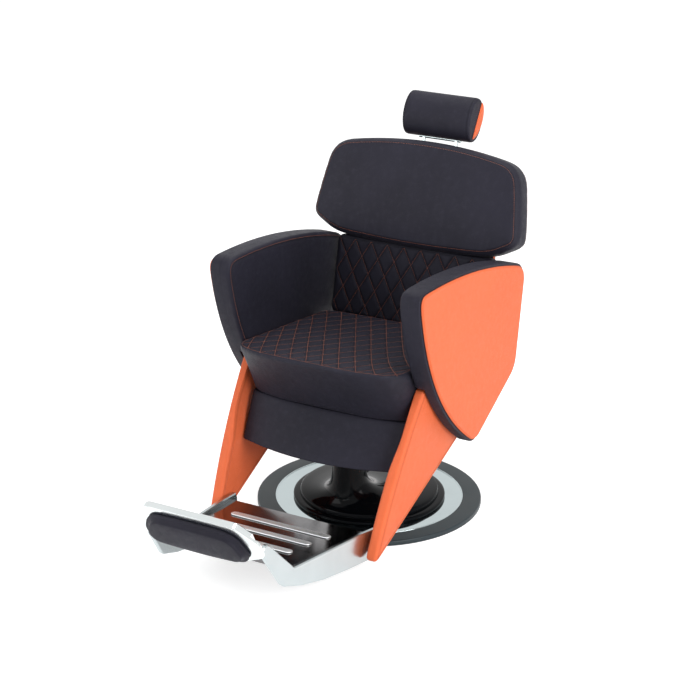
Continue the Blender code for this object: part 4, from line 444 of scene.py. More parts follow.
def remeshed(name, rings, voxel):
    """Dark leather over rings as one even mesh, smoothed so that no voxel step shows."""
    piece = make_object(name, capped(np.array(rings)), "dark_leather")
    step = piece.modifiers.new("even", "REMESH")
    step.mode = "VOXEL"
    step.voxel_size = voxel
    settle(piece)
    edges = np.empty(len(piece.data.edges) * 2, np.int32)
    piece.data.edges.foreach_get("vertices", edges)
    put(piece.data, relax(read(piece.data), edges.reshape(-1, 2), 12))
    return piece


def inflate(piece, pinned, cap, frames=20):
    """Swells a closed cover by cloth pressure; pinned holds seams, and cap limits each point's way."""
    rest = read(piece.data)
    group = piece.vertex_groups.new(name="seams")
    level = np.round(np.clip(pinned, 0, 1) * 10).astype(int)
    for value in range(1, 11):
        chosen = np.flatnonzero(level == value)
        if len(chosen):
            group.add(chosen.tolist(), value / 10, "REPLACE")
    cloth = piece.modifiers.new("filling", "CLOTH")
    cloth.settings.use_pressure = True
    cloth.settings.uniform_pressure_force = upholstery().pressure
    cloth.settings.vertex_group_mass = "seams"
    cloth.settings.effector_weights.gravity = 0
    cloth.settings.quality = 4
    cloth.collision_settings.use_collision = False
    cloth.point_cache.frame_start = 1
    cloth.point_cache.frame_end = frames
    scene = bpy.context.scene
    for number in range(1, frames + 1):
        scene.frame_set(number)
    graph = bpy.context.evaluated_depsgraph_get()
    done = piece.evaluated_get(graph).to_mesh()
    moved = read(done) - rest
    piece.evaluated_get(graph).to_mesh_clear()
    piece.modifiers.clear()
    piece.vertex_groups.clear()
    scene.frame_set(1)
    far = np.linalg.norm(moved, axis=1)
    cap = np.broadcast_to(cap, far.shape)
    share = cap * np.tanh(far / np.maximum(cap, 1e-6)) / np.maximum(far, 1e-9)
    put(piece.data, rest + moved * share[:, None])
    print(piece.name, len(rest), "points, swelled by", round(float(far.max()) * 1000, 1), "mm",
          "mean", round(float(far.mean()) * 1000, 2))
    return piece


def subdivide(piece):
    """Splits every face in four on a smooth surface through the mesh."""
    step = piece.modifiers.new("fine", "SUBSURF")
    step.levels = step.render_levels = 1
    return settle(piece)


def bell(distance, width):
    """1 at no distance and falling as exp(-(distance / width) squared)."""
    return np.exp(-(distance / width) ** 2)


def distance_to(points, line):
    """Distance from each point to the nearest point of a line."""
    found = np.empty(len(points))
    square = (line ** 2).sum(1)
    for start in range(0, len(points), 20000):
        part = points[start:start + 20000]
        found[start:start + 20000] = np.min((part ** 2).sum(1)[:, None] + square - 2 * part @ line.T, 1)
    return np.sqrt(np.maximum(found, 0))


def press(piece, channels):
    """Presses sewn channels into a cover: each is (distance of every point, depth, half width),
    and the points move in along their normals by depth times a bell curve of the distance."""
    points, normals = read(piece.data), read(piece.data, "normal")
    sink = np.zeros(len(points))
    painted_shade = np.zeros(len(points))
    for distance, depth, half in channels:
        sink = np.maximum(sink, depth * bell(distance, half))
        # painted shade over each channel, a little wider than the channel itself
        painted_shade = np.maximum(painted_shade, bell(distance, half * 1.9))
    put(piece.data, points - normals * sink[:, None])
    mark(piece, painted_shade)


def mark(piece, painted_shade=0):
    """Stores how near each point is to a seam, as painted shade and duller gloss for the leather."""
    layer = piece.data.attributes.get("painted_shade") or piece.data.attributes.new("painted_shade", "FLOAT", "POINT")
    layer.data.foreach_set("value", np.full(len(layer.data), painted_shade, np.float32))


def paint_seam_shade(piece, outline, seam):
    """Paints shade along a seam of a side face: 1 on the outline's inset, fading over a few millimetres."""
    line = even(inset(outline, seam), 1500)
    mark(piece, bell(distance_to(read(piece.data)[:, 1:], line), 0.004))


def on_cover(piece, points, towards):
    """Where rays from points in one direction first meet the cover, and its normals there."""
    tree = BVHTree.FromObject(piece, bpy.context.evaluated_depsgraph_get())
    towards = Vector(towards)
    hits = [tree.ray_cast(Vector(p), towards) for p in points]
    good = np.array([h[0] is not None for h in hits])
    places = np.array([h[0] if h[0] else (0, 0, 0) for h in hits])
    normals = np.array([h[1] if h[0] else (0, 0, 1) for h in hits])
    return places, normals, good


def nearest_on_cover(piece, points):
    """The nearest places on the cover, and its normals there."""
    tree = BVHTree.FromObject(piece, bpy.context.evaluated_depsgraph_get())
    hits = [tree.find_nearest(Vector(p)) for p in points]
    return np.array([h[0] for h in hits]), np.array([h[1] for h in hits])


def stitches(starts, ends, normals, radius, lift=0.0006, sink=0.0004):
    """Threads between pairs of points: five-sided tubes of four rings on a low arch, whose radius
    is smaller at both ends, where they go into the leather."""
    t = np.array((0.0, 0.3, 0.7, 1.0))[None, :, None]
    centre = starts[:, None] * (1 - t) + ends[:, None] * t
    centre = centre + normals[:, None] * (4 * t * (1 - t) * (lift + sink) - sink)
    forward = unit(ends - starts)
    side = unit(np.cross(forward, normals))
    up = np.cross(side, forward)
    turn = np.arange(5) * 2 * np.pi / 5
    thick = radius * np.array((0.55, 1.0, 1.0, 0.55))[None, :, None, None]
    ring = (np.cos(turn)[None, None, :, None] * side[:, None, None]
            + np.sin(turn)[None, None, :, None] * up[:, None, None])
    points = (centre[:, :, None] + ring * thick).reshape(-1, 3)
    count = len(starts)
    i = np.arange(3)[:, None] * 5
    j = np.arange(5)[None, :]
    quads = np.stack([i + j, i + (j + 1) % 5, i + 5 + (j + 1) % 5, i + 5 + j], -1).reshape(-1, 4)
    tris = np.array([(0, 2, 1), (0, 3, 2), (0, 4, 3), (15, 16, 17), (15, 17, 18), (15, 18, 19)])
    base = (np.arange(count) * 20)[:, None, None]
    return outward(points, (quads[None] + base).reshape(-1, 4), (tris[None] + base).reshape(-1, 3))


def sewn(path, normals, closed=True):
    """Start, end and normal of each stitch along a path of points."""
    pitch = upholstery().stitch_pitch
    if closed:
        path, normals = np.concatenate([path, path[:1]]), np.concatenate([normals, normals[:1]])
    run = np.concatenate([[0], np.cumsum(np.linalg.norm(np.diff(path, axis=0), axis=1))])
    count = max(int(run[-1] / pitch), 1)
    first = np.arange(count) * run[-1] / count
    last = first + 0.68 * pitch

    def at(rows, places):
        """Rows read off at places along the path."""
        return np.stack([np.interp(places, run, rows[:, k]) for k in range(3)], 1)
    return at(path, first), at(path, last), unit(at(normals, (first + last) / 2))


# ------------------------------------------------------------------ finishes
class Finish:
    """A material's shader with short calls for the nodes before it."""

    def __init__(self, name, colour, roughness, metallic=0.0, **sockets):
        """A new material with its colour, roughness, metal share and other sockets."""
        self.material = bpy.data.materials.new(name)
        self.material.use_nodes = True
        self.tree = self.material.node_tree
        self.shader = self.tree.nodes["Principled BSDF"]
        self.set("Base Color", (*colour, 1))
        self.set("Roughness", roughness)
        self.set("Metallic", metallic)
        for socket, value in sockets.items():
            self.set(socket.replace("_", " "), value)
        self.material.diffuse_color = (*colour, 1)
        self.place = self.tree.nodes.new("ShaderNodeTexCoord").outputs["Object"]

    def feed(self, socket, value):
        """Links a node's output to a socket, or sets the socket's own value."""
        if isinstance(value, bpy.types.NodeSocket):
            self.tree.links.new(value, socket)
        else:
            socket.default_value = value

    def set(self, socket, value):
        """Feeds a socket of the material's shader."""
        self.feed(self.shader.inputs[socket], value)

    def node(self, kind, inputs=None, **settings):
        """A new shader node with its settings and inputs."""
        made = self.tree.nodes.new("ShaderNode" + kind)
        for name, value in settings.items():
            setattr(made, name, value)
        for key, value in (inputs or {}).items():
            self.feed(made.inputs[key], value)
        return made

    def stretched(self, scale, turn=(0, 0, 0)):
        """The object's own places, turned and scaled along each axis."""
        return self.node("Mapping", {"Vector": self.place, "Scale": scale, "Rotation": turn}).outputs[0]

    def noise(self, scale, detail=3, rough=0.5, vector=None, distortion=0.0):
        """Cloudy noise from 0 to 1."""
        return self.node("TexNoise", {"Vector": vector or self.place, "Scale": scale, "Detail": detail,
                                      "Roughness": rough, "Distortion": distortion}).outputs["Fac"]

    def cells(self, scale, feature="DISTANCE_TO_EDGE", vector=None):
        """Distance to the edge, or with F1 to the middle, of small cells."""
        return self.node("TexVoronoi", {"Vector": vector or self.place, "Scale": scale},
                         feature=feature).outputs["Distance"]

    def waves(self, scale, distortion, direction):
        """Bands across a direction, from 0 to 1."""
        return self.node("TexWave", {"Vector": self.place, "Scale": scale, "Distortion": distortion},
                         bands_direction=direction).outputs["Fac"]

    def spread(self, value, low, high, to_low, to_high):
        """The value's range from low to high laid onto the range from to_low to to_high."""
        return self.node("MapRange", {"Value": value, "From Min": low, "From Max": high,
                                      "To Min": to_low, "To Max": to_high}).outputs["Result"]

    def sum(self, first, second, operation="ADD"):
        """Two values added, or joined by another operation."""
        return self.node("Math", {0: first, 1: second}, operation=operation).outputs[0]

    def mixed(self, share, first, second):
        """First times 1 - share plus second times share, as colours."""
        made = self.node("Mix", {0: share}, data_type="RGBA")
        for socket, value in ((6, first), (7, second)):
            linked = isinstance(value, bpy.types.NodeSocket)
            self.feed(made.inputs[socket], value if linked else (*value, 1))
        return made.outputs[2]

    def bump(self, height, distance, strength=1.0, below=None):
        """A normal that follows a height, on top of the normal below it."""
        inputs = {"Height": height, "Distance": distance, "Strength": strength}
        if below is not None:
            inputs["Normal"] = below
        return self.node("Bump", inputs).outputs["Normal"]


def shade(colour, share):
    """A colour times a share, at most 1."""
    return tuple(min(c * share, 1.0) for c in colour)


def leather(name, colour, worn, seam_shade_share=0.55, roughness=0.5, gloss_level=0.16, drift_share=0.13):
    """Upholstery leather: pebbled grain of small cells, soft creases, tone that drifts over a hand's
    width, rubbed high spots, and painted shade at seams and channels, which are darker and duller."""
    made = Finish(name, colour, roughness, Sheen_Weight=0.012, Sheen_Roughness=0.5,
                  Specular_IOR_Level=gloss_level)
    drift = made.noise(7, 4, 0.55)
    patch = made.noise(55, 3, 0.6)
    grain = made.cells(620)
    pores = made.noise(1700, 2)
    creases = made.noise(38, 5, 0.6, distortion=0.6)
    painted_shade = made.node("Attribute", attribute_name="painted_shade").outputs["Fac"]
    tone = made.mixed(made.spread(drift, 0.35, 0.68, 0, 1), shade(colour, 1 - drift_share),
                      shade(colour, 1 + drift_share))
    tone = made.mixed(made.spread(patch, 0.52, 0.75, 0, 0.35), tone, worn)
    # painted shade: the colour darkens towards a seam or channel, where shade falls
    tone = made.mixed(made.spread(painted_shade, 0.15, 1.0, 0, seam_shade_share), tone, shade(colour, 0.42))
    tone = made.mixed(made.spread(grain, 0.0, 0.12, 0.30, 0.0), tone, shade(colour, 0.6))
    made.set("Base Color", tone)
    gloss = made.spread(patch, 0.3, 0.75, roughness + 0.07, roughness - 0.07)
    gloss = made.sum(gloss, made.spread(painted_shade, 0.1, 1, 0, 0.14))
    made.set("Roughness", gloss)
    below = made.bump(creases, 0.0011, 0.55)
    below = made.bump(made.spread(grain, 0, 0.25, 0, 1), 0.00022, 0.55, below)
    made.set("Normal", made.bump(pores, 0.00008, 0.35, below))
    return made.material


def thread_finish(name, colour):
    """Waxed thread: two plies as fine slanted bands, and a little tone from stitch to stitch."""
    made = Finish(name, colour, 0.55, Sheen_Weight=0.2, Sheen_Roughness=0.4)
    twist = made.waves(420, 1.5, "DIAGONAL")
    tone = made.mixed(made.spread(made.noise(130, 2), 0.3, 0.7, 0, 1), shade(colour, 0.78),
                      shade(colour, 1.2))
    made.set("Base Color", made.mixed(made.spread(twist, 0.2, 0.9, 0.35, 0), tone, shade(colour, 0.5)))
    made.set("Roughness", made.spread(twist, 0, 1, 0.66, 0.48))
    made.set("Normal", made.bump(twist, 0.0003, 0.6))
    return made.material


def bright_metal(name, colour, roughness, streak, scale, smear=0.05):
    """Polished metal: fine streaks of the polishing wheel, wiped smears and a few small scratches."""
    made = Finish(name, colour, roughness, 1.0)
    lines = made.noise(1.0, 3, 0.7, made.stretched(streak))
    wiped = made.noise(scale, 4, 0.6, distortion=0.8)
    marks = made.cells(60, vector=made.stretched((0.12, 2.2, 1.4), (0.3, 0.5, 0.8)))
    made.set("Base Color", made.mixed(made.spread(wiped, 0.4, 0.75, 0, 0.5), colour, shade(colour, 0.88)))
    rough = made.spread(wiped, 0.35, 0.75, roughness, roughness + smear)
    rough = made.sum(rough, made.spread(marks, 0.0, 0.012, 0.08, 0.0))
    made.set("Roughness", rough)
    made.set("Normal", made.bump(lines, 0.00004, 0.35))
    return made.material


def painted(name, colour, roughness, coat, speck=0.0, ripple=0.25, gloss_level=0.5):
    """Sprayed paint: slight orange-peel ripple, dust specks and a gloss that dulls in patches."""
    made = Finish(name, colour, roughness, Coat_Weight=coat, Coat_Roughness=0.04,
                  Specular_IOR_Level=gloss_level)
    peel = made.noise(190, 2)
    dust = made.cells(340, "F1")
    wiped = made.noise(9, 4, 0.6)
    tone = made.mixed(made.spread(wiped, 0.35, 0.7, 0, 1), shade(colour, 0.9), shade(colour, 1.12))
    made.set("Base Color", made.mixed(made.spread(dust, 0.0, 0.10, speck, 0.0), tone, (0.35, 0.35, 0.36)))
    made.set("Roughness", made.spread(wiped, 0.3, 0.75, roughness, roughness + 0.10))
    made.set("Normal", made.bump(peel, 0.00010, ripple))
    return made.material


def cast(name, colour, roughness, metallic):
    """Cast or powder-coated iron: coarse grain with small pits and rubbed tops."""
    made = Finish(name, colour, roughness, metallic)
    grain = made.noise(420, 4, 0.65)
    pits = made.cells(150, "F1")
    made.set("Base Color", made.mixed(made.spread(grain, 0.55, 0.75, 0, 0.6), colour, shade(colour, 2.2)))
    made.set("Roughness", made.spread(grain, 0.3, 0.7, roughness + 0.1, roughness - 0.08))
    made.set("Normal", made.bump(pits, 0.0002, 0.3, made.bump(grain, 0.0002, 0.5)))
    return made.material


def plywood(name, colour):
    """Birch plywood: long grain along X with growth bands, fine pores and pale plies."""
    made = Finish(name, colour, 0.6)
    grain = made.noise(1.0, 6, 0.65, made.stretched((5, 90, 160)), 0.4)
    plies = made.waves(210, 0.3, "Z")
    tone = made.mixed(made.spread(grain, 0.3, 0.7, 0, 1), shade(colour, 0.68), shade(colour, 1.15))
    made.set("Base Color", made.mixed(made.spread(plies, 0.6, 0.9, 0, 0.35), tone, shade(colour, 0.55)))
    made.set("Roughness", made.spread(grain, 0.2, 0.8, 0.7, 0.5))
    made.set("Normal", made.bump(grain, 0.0003, 0.4))
    return made.material


def moulded(name, colour, roughness):
    """Moulded plastic or rubber: fine spark-eroded texture and scuffed patches."""
    made = Finish(name, colour, roughness)
    grain = made.noise(900, 3, 0.6)
    scuff = made.noise(30, 5, 0.65, distortion=1.0)
    made.set("Base Color", made.mixed(made.spread(scuff, 0.55, 0.8, 0, 0.45), colour, shade(colour, 2.4)))
    made.set("Roughness", made.spread(scuff, 0.4, 0.75, roughness - 0.05, roughness + 0.12))
    made.set("Normal", made.bump(grain, 0.00012, 0.5))
    return made.material


FINISHES = {}
METALS = {                      # colour, roughness, stretch of the streaks, scale and depth of smears
    "chrome": ("chrome", (0.52, 0.59, 0.60), 0.035, (6, 6, 900), 6, 0.03),
    "polished": ("polished_aluminium", (0.76, 0.80, 0.80), 0.12, (9, 700, 700), 8, 0.06),
    # cheeks: the same polished aluminium as the bosses, in a darker copy as painted shade; tread: polished
    # plate dimmed as a painted dark reflection
    "cheeks": ("cheek_aluminium_painted_shade", (0.47, 0.515, 0.525), 0.20, (500, 9, 700), 9, 0.08),
    "tread": ("tread_plate_painted_reflection", (0.17, 0.165, 0.17), 0.09, (9, 700, 700), 8, 0.08),
    "ribbed": ("ribbed_aluminium", (0.90, 0.92, 0.92), 0.33, (500, 60, 500), 20, 0.10),
    "bright_steel": ("bright_steel", (0.56, 0.56, 0.58), 0.24, (500, 40, 500), 14, 0.12),
}
NODE_FINISHES = {
    "cast_iron": ("base_plate", "calf_pad_pin_left", "calf_pad_pin_right"),
    "chrome": ("lift_ram", "headrest_posts", "strut_rod"),
    "gloss_black": ("pump_clamp",),
    "bright_steel": ("pump_gland", "pedal_pin", "recline_axle", "recline_handle"),
    "black_steel": ("pump_cylinder", "pedal_lever", "swivel_hub", "seat_frame", "leg_bracket_left",
                    "leg_bracket_right", "skirt_bracket", "recline_ear_left", "recline_ear_right",
                    "strut_anchor", "strut_cylinder", "handle_bracket", "back_frame"),
    "plywood": ("seat_pan",),
    "stained_board": ("lower_back_board", "upper_back_board"),
    "polished": ("footrest_boss_left", "footrest_boss_right", "calf_pad_frame"),
    "cheeks": ("footrest_cheek_left", "footrest_cheek_right"),
    "tread": ("footrest_tread",),
    "rubber": ("pedal_pad",),
    "black_plastic": ("recline_knob", "headrest_guide", "arm_spacer_left", "arm_spacer_right"),
}


class OBJECT_OT_chair_finishes(bpy.types.Operator):
    """Makes every finish and gives the frame's bare metal, wood and plastic parts theirs"""
    bl_idname = "object.chair_finishes"
    bl_label = "Finishes"

    def execute(self, context):
        """Fills FINISHES and lays them on the frame's nodes."""
        tone = context.scene.chair_colours
        dark, orange = tuple(tone.dark_leather), tuple(tone.orange_leather)
        # the fourth argument is the share of painted shade at seams and channels
        FINISHES["dark_leather"] = leather("dark_leather", dark, shade(dark, 1.6), 0.55, 0.52)
        FINISHES["orange_leather"] = leather("orange_leather", orange, shade(orange, 1.08), 0.30, 0.48,
                                             0.2, 0.03)
        FINISHES["dark_thread"] = thread_finish("quilting_thread", tuple(tone.dark_thread))
        FINISHES["orange_thread"] = thread_finish("panel_thread", tuple(tone.orange_thread))
        for finish, values in METALS.items():
            FINISHES[finish] = bright_metal(*values)
        FINISHES["gloss_black"] = painted("gloss_black_paint", (0.0024, 0.0030, 0.0042), 0.06, 0.0,
                                          0.03, 0.05, 0.08)
        FINISHES["ring_paint"] = painted("ring_paint", tuple(tone.ring_paint), 0.40, 0.06, 0.25, 0.3, 0.3)
        FINISHES["black_steel"] = cast("black_steel", (0.022, 0.022, 0.024), 0.42, 0.3)
        FINISHES["cast_iron"] = cast("cast_iron", (0.045, 0.045, 0.05), 0.6, 0.6)
        FINISHES["plywood"] = plywood("plywood", (0.45, 0.29, 0.16))
        FINISHES["stained_board"] = plywood("black_stained_plywood", (0.022, 0.020, 0.019))
        FINISHES["rubber"] = moulded("rubber", (0.016, 0.016, 0.017), 0.72)
        FINISHES["black_plastic"] = moulded("black_plastic", (0.02, 0.02, 0.022), 0.42)
        for finish, nodes in NODE_FINISHES.items():
            for node in nodes:
                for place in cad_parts[node].material_slots:
                    place.material = FINISHES[finish]
        return {"FINISHED"}


# ------------------------------------------------------------------ base
class OBJECT_OT_chair_base(bpy.types.Operator):
    """Round base: painted ring, bright disc with a rolled rim and the black cover of the column"""
    bl_idname = "object.chair_base"
    bl_label = "Base"

    def execute(self, context):
        """Ring and disc turned from their sections."""
        profile = [(0.336, 0), (0.339, 0), (RING_RADIUS, 0.001),
                   *self.arc((RING_RADIUS - RING_EDGE, RING_TOP - RING_EDGE), RING_EDGE, 0.5, 8),
                   (0.2858, RING_TOP), (0.2853, 0.0150), (0.2853, BASE_FOOT), (0.336, BASE_FOOT)]
        crisp(add("painted_ring", turned(profile), "ring_paint", BASE_BODY, ["base_ring"]))
        profile = [(DISC_INNER, BASE_FOOT), (DISC_RADIUS, BASE_FOOT),
                   *self.arc((DISC_RADIUS - BEAD, 0.0148), BEAD, 1, 10), (0.2809, 0.0140),
                   (0.2800, 0.0134), (0.2780, DISC_TOP), (DISC_INNER, DISC_TOP)]
        crisp(add("bright_disc", turned(profile), "chrome", BASE_BODY, ["base_disc"]))
        self.cover()
        return {"FINISHED"}

    @staticmethod
    def arc(middle, radius, half_turns, count):
        """Points of an arc that starts outwards and turns up: middle + radius (cos, sin)."""
        turn = np.linspace(0, np.pi * half_turns, count)[:, None]
        return np.array(middle) + radius * np.concatenate([np.cos(turn), np.sin(turn)], 1)

    @staticmethod
    def cover():
        """Shell through circles that shrink while their middles slide forward to the column, cut by
        the slot of the lever."""
        neck = COLUMN_RADIUS
        levels = [(0.228, 0, 0), (0.230, 0.006, 0), (0.227, 0.011, 0), (0.211, 0.0135, 0),
                  (0.210, 0.020, 0), (0.207, 0.0255, 0), (0.200, 0.029, 0)]
        levels += [(neck + (0.200 - neck) * (1 - share), rise, share) for share, rise in
                   ((0.30, 0.037), (0.60, 0.048), (0.79, 0.062), (0.91, 0.082), (0.975, 0.108))]
        levels = [(radius, COVER_FOOT + rise, share) for radius, rise, share in levels]
        levels += [(neck, COVER_FOOT + 0.140, 1), (neck, COLUMN_TOP, 1)]
        outside = np.concatenate([rounded_rows(levels[:4], 5), rounded_rows(levels[3:13], 7)[1:],
                                  [levels[13]]])
        within = [(r - COVER_WALL, h - (COVER_WALL if 2 < i < 13 else 0), share)
                  for i, (r, h, share) in enumerate(levels) if i not in (1, 2, 4, 5)]
        profile = np.concatenate([outside, within[::-1]])
        profile[:, 2] *= -COLUMN_SETBACK
        cover = make_object("column_cover", turned(profile), "gloss_black")
        corners = np.array([(a, b, c) for a in SLOT_X for b in SLOT_Y for c in SLOT_Z])
        sides = ((0, 1, 3, 2), (4, 6, 7, 5), (0, 4, 5, 1), (2, 3, 7, 6), (0, 2, 6, 4), (1, 5, 7, 3))
        slot = make_object("slot", outward(corners, sides, []), "gloss_black")
        cut = cover.modifiers.new("slot", "BOOLEAN")
        cut.operation, cut.solver, cut.object = "DIFFERENCE", "EXACT", slot
        settle(cover)
        bpy.data.objects.remove(slot, do_unlink=True)
        crisp(cover, 34)
        declare(cover, BASE_BODY, ["base_cover"])


# ------------------------------------------------------------------ seat
def seat_front(across):
    """Front edge of the seat's top: the bow times 1 - (across / half) to the power of the fullness."""
    return SEAT_FRONT - SEAT_BOW * (1 - np.abs(across / SEAT_HALF) ** SEAT_FULLNESS)


def seat_grid_place(across, along, height):
    """A seat point; below the front's top the face draws back by the rake times the drop."""
    drop = np.clip((SEAT_FRONT_TOP - height) / (SEAT_FRONT_TOP - SEAT_FOOT), 0, 1)
    forward = np.clip((SEAT_REAR - along) / (SEAT_REAR - SEAT_FRONT), 0, None)
    return np.stack([across, along + SEAT_RAKE * drop * forward ** 2, height], -1)


def seat_top(u, v):
    """Top of the seat for u across and v along, from 0 to 1: a slope to the rear with a crown."""
    half = SEAT_HALF - BORDER
    across = half * (2 * u - 1)
    front = seat_front(across) + BORDER
    along = front + (SEAT_REAR - BORDER - front) * v
    share = (along - SEAT_FRONT) / (SEAT_REAR - SEAT_FRONT)
    height = SEAT_FRONT_TOP + (SEAT_REAR_TOP - SEAT_FRONT_TOP) * share
    return across, along, height + SEAT_CROWN * (1 - (across / half) ** 2)


def seat_share(points):
    """The u and v of places on the seat's top."""
    u = (points[:, 0] / (SEAT_HALF - BORDER) + 1) / 2
    front = seat_front(points[:, 0]) + BORDER
    return u, (points[:, 1] - front) / (SEAT_REAR - BORDER - front)


def lattice(a, b, per_metre):
    """Distance in metres to the nearest diagonal a + b or a - b that is an even number."""
    first = np.abs((a + b + 1) % 2 - 1)
    second = np.abs((a - b + 1) % 2 - 1)
    return np.minimum(first, second) / per_metre


def lattice_stitches(columns, rows, length):
    """Ends (a, b) of stitches along every even diagonal of a field of columns by rows."""
    starts, ends = [], []
    step = upholstery().stitch_pitch / length
    for sign in (1, -1):
        for line in range(-2 * int(rows) if sign < 0 else 2, 2 * int(columns + rows), 2):
            low = max(0, line - rows) if sign > 0 else max(0, line)
            high = min(columns, line) if sign > 0 else min(columns, line + rows)
            if high - low < 0.5:
                continue
            a = np.arange(low + step * 0.3, high - step * 0.7, step)
            for rows_made, where in ((starts, a), (ends, a + step * 0.66)):
                b = (line - where) if sign > 0 else (where - line)
                rows_made.append(np.stack([where, b], 1))
    return np.concatenate(starts), np.concatenate(ends)


def border_of(columns, rows):
    """Points (u, v) round the border of a unit square."""
    u, v = np.linspace(0, 1, columns + 1), np.linspace(0, 1, rows + 1)
    return np.concatenate([np.stack([u[:-1], 0 * u[:-1]], 1), np.stack([0 * v[:-1] + 1, v[:-1]], 1),
                           np.stack([u[:0:-1], 0 * u[:0:-1] + 1], 1),
                           np.stack([0 * v[:0:-1], v[:0:-1]], 1)])


def rounded(border, across, along):
    """The border with its corners on quarter ellipses; across and along are the ellipse's shares
    of the half sides."""
    p, q = 2 * border[:, 0] - 1, 2 * border[:, 1] - 1
    a, b = (np.abs(p) - 1 + across) / across, (np.abs(q) - 1 + along) / along
    turn = np.where(np.abs(p) > np.abs(q), np.pi / 4 * b, np.pi / 2 - np.pi / 4 * a)
    corner = (a > 0) & (b > 0)
    p = np.where(corner, np.sign(p) * (1 - across + across * np.cos(turn)), p)
    q = np.where(corner, np.sign(q) * (1 - along + along * np.sin(turn)), q)
    return np.stack([p + 1, q + 1], 1) / 2


def cushion(border, face, place, foot, spread, top_rows, sides, under_rows):
    """Rings of a cushion: its sunk face from the middle to the border, an edge that rolls out by the
    spread and down by ROLL, sides of (share, draw) pairs that draw in on their way to the foot, and
    the underside."""
    centre = np.array((0.5, 0.5))
    rows = []
    for share in np.linspace(0.03, 1, top_rows):
        across, along, height = face(*(centre + (border - centre) * share).T)
        rows.append(place(across, along, height - SUNK))
    across, along, height = face(*border.T)
    plan = np.stack([across, along], 1)
    for turn in np.radians((22, 45, 68, 90)):
        ring = inset(plan, -spread * np.sin(turn))
        rows.append(place(*ring.T, height - SUNK - ROLL * (1 - np.cos(turn))))
    low = height - SUNK - ROLL
    for share, draw in sides:
        rows.append(place(*inset(plan, draw - spread).T, low + (foot - low) * share))
    middle = rows[-1].mean(0)
    return rows + [middle + (rows[-1] - middle) * share for share in np.linspace(0.9, 0.05, under_rows)]


def quilted(name, rings, border, front, shares, field, per_metre, swell, margin, sunk, seam):
    """A cushion swelled between its diagonals and its border seam, which are then pressed in, and
    the line of that seam.  The front is the way its face looks, shares gives each point's u and v on
    the face, field is the number of diagonals' units along both, and sunk and seam are the (depth,
    half width) of the channels."""
    piece = remeshed(name, rings, upholstery().voxel)
    path, _ = nearest_on_cover(piece, border)

    def measured(low, high, rim):
        """Points, lattice distances, and how far each faces the front, 0 outside the rim."""
        points, facing = read(piece.data), read(piece.data, "normal") @ front
        u, v = shares(points)
        facing_share = smooth_step(facing, low, high)
        if rim:
            inner = np.minimum(np.minimum(u, 1 - u), np.minimum(v, 1 - v))
            facing_share = facing_share * smooth_step(inner, -rim, 0.0)
        return points, lattice(u * field[0], v * field[1], per_metre), facing, facing_share
    points, lines, facing, top = measured(0.5, 0.8, 0)
    pinned = np.maximum(bell(lines, 0.0042) * top, bell(distance_to(points, path), 0.005))
    inflate(piece, np.maximum(pinned, smooth_step(-facing, 0.3, 0.7)), 0.0012 + swell * top)
    subdivide(piece)
    points, lines, facing, top = measured(0.4, 0.7, margin)
    press(piece, [(lines + (1 - top) * 0.05, *sunk), (distance_to(points, path), *seam)])
    return piece, path


def quilting(piece, field, run, above, towards, lift=0.0006):
    """Stitches along the diagonals of a field, dropped onto a cushion from places above it; run is
    the length of one unit of a diagonal."""
    (start, normal, hit), (end, _, hit_too) = [
        on_cover(piece, above(pairs[:, 0] / field[0], pairs[:, 1] / field[1]), towards)
        for pairs in lattice_stitches(*field, run)]
    good = hit & hit_too
    return stitches(start[good], end[good], normal[good], upholstery().thread_radius, lift)


class OBJECT_OT_chair_seat(bpy.types.Operator):
    """Quilted seat cushion: a bowed and raked block swelled between its sewn diagonals"""
    bl_idname = "object.chair_seat"
    bl_label = "Seat cushion"

    def execute(self, context):
        """The cushion, its quilting and the stitches round its border."""
        border = rounded(border_of(90, 80), 0.13, 0.13)
        sides = [(s, 0.004 * np.sin(s * np.pi / 2)) for s in np.linspace(0.1, 1, 9)]
        rings = cushion(border, seat_top, seat_grid_place, SEAT_FOOT + 0.0005, BORDER * 0.9, 30, sides, 6)
        across, along, height = seat_top(*border.T)
        field = (SEAT_ACROSS, SEAT_ALONG)
        per_metre = np.hypot(SEAT_ACROSS / (2 * SEAT_HALF), SEAT_ALONG / SEAT_LONG)
        wide, depth = upholstery().channel_width, upholstery().channel_depth
        piece, seam = quilted("quilted_seat", rings, seat_grid_place(across, along, height - 0.001),
                              np.array((0, 0, 1)), seat_share, field, per_metre, 0.0052, 0.012,
                              (depth * 0.75, wide), (0.0022, wide * 0.6))
        declare(piece, "seat", ["seat_cushion"])
        diagonals = quilting(piece, field, 0.0535,
                             lambda u, v: np.stack(seat_top(u, v), 1) + np.array((0, 0, 0.1)),
                             (0, 0, -1), 0.0013)
        seam, out = nearest_on_cover(piece, seam)
        out = out[np.linspace(0, len(out) - 1, 600).astype(int)]
        edging = stitches(*sewn(even(seam, 600), out), upholstery().thread_radius)
        sew("seat_thread", "seat", "dark_leather", "dark_thread", diagonals, edging)
        return {"FINISHED"}


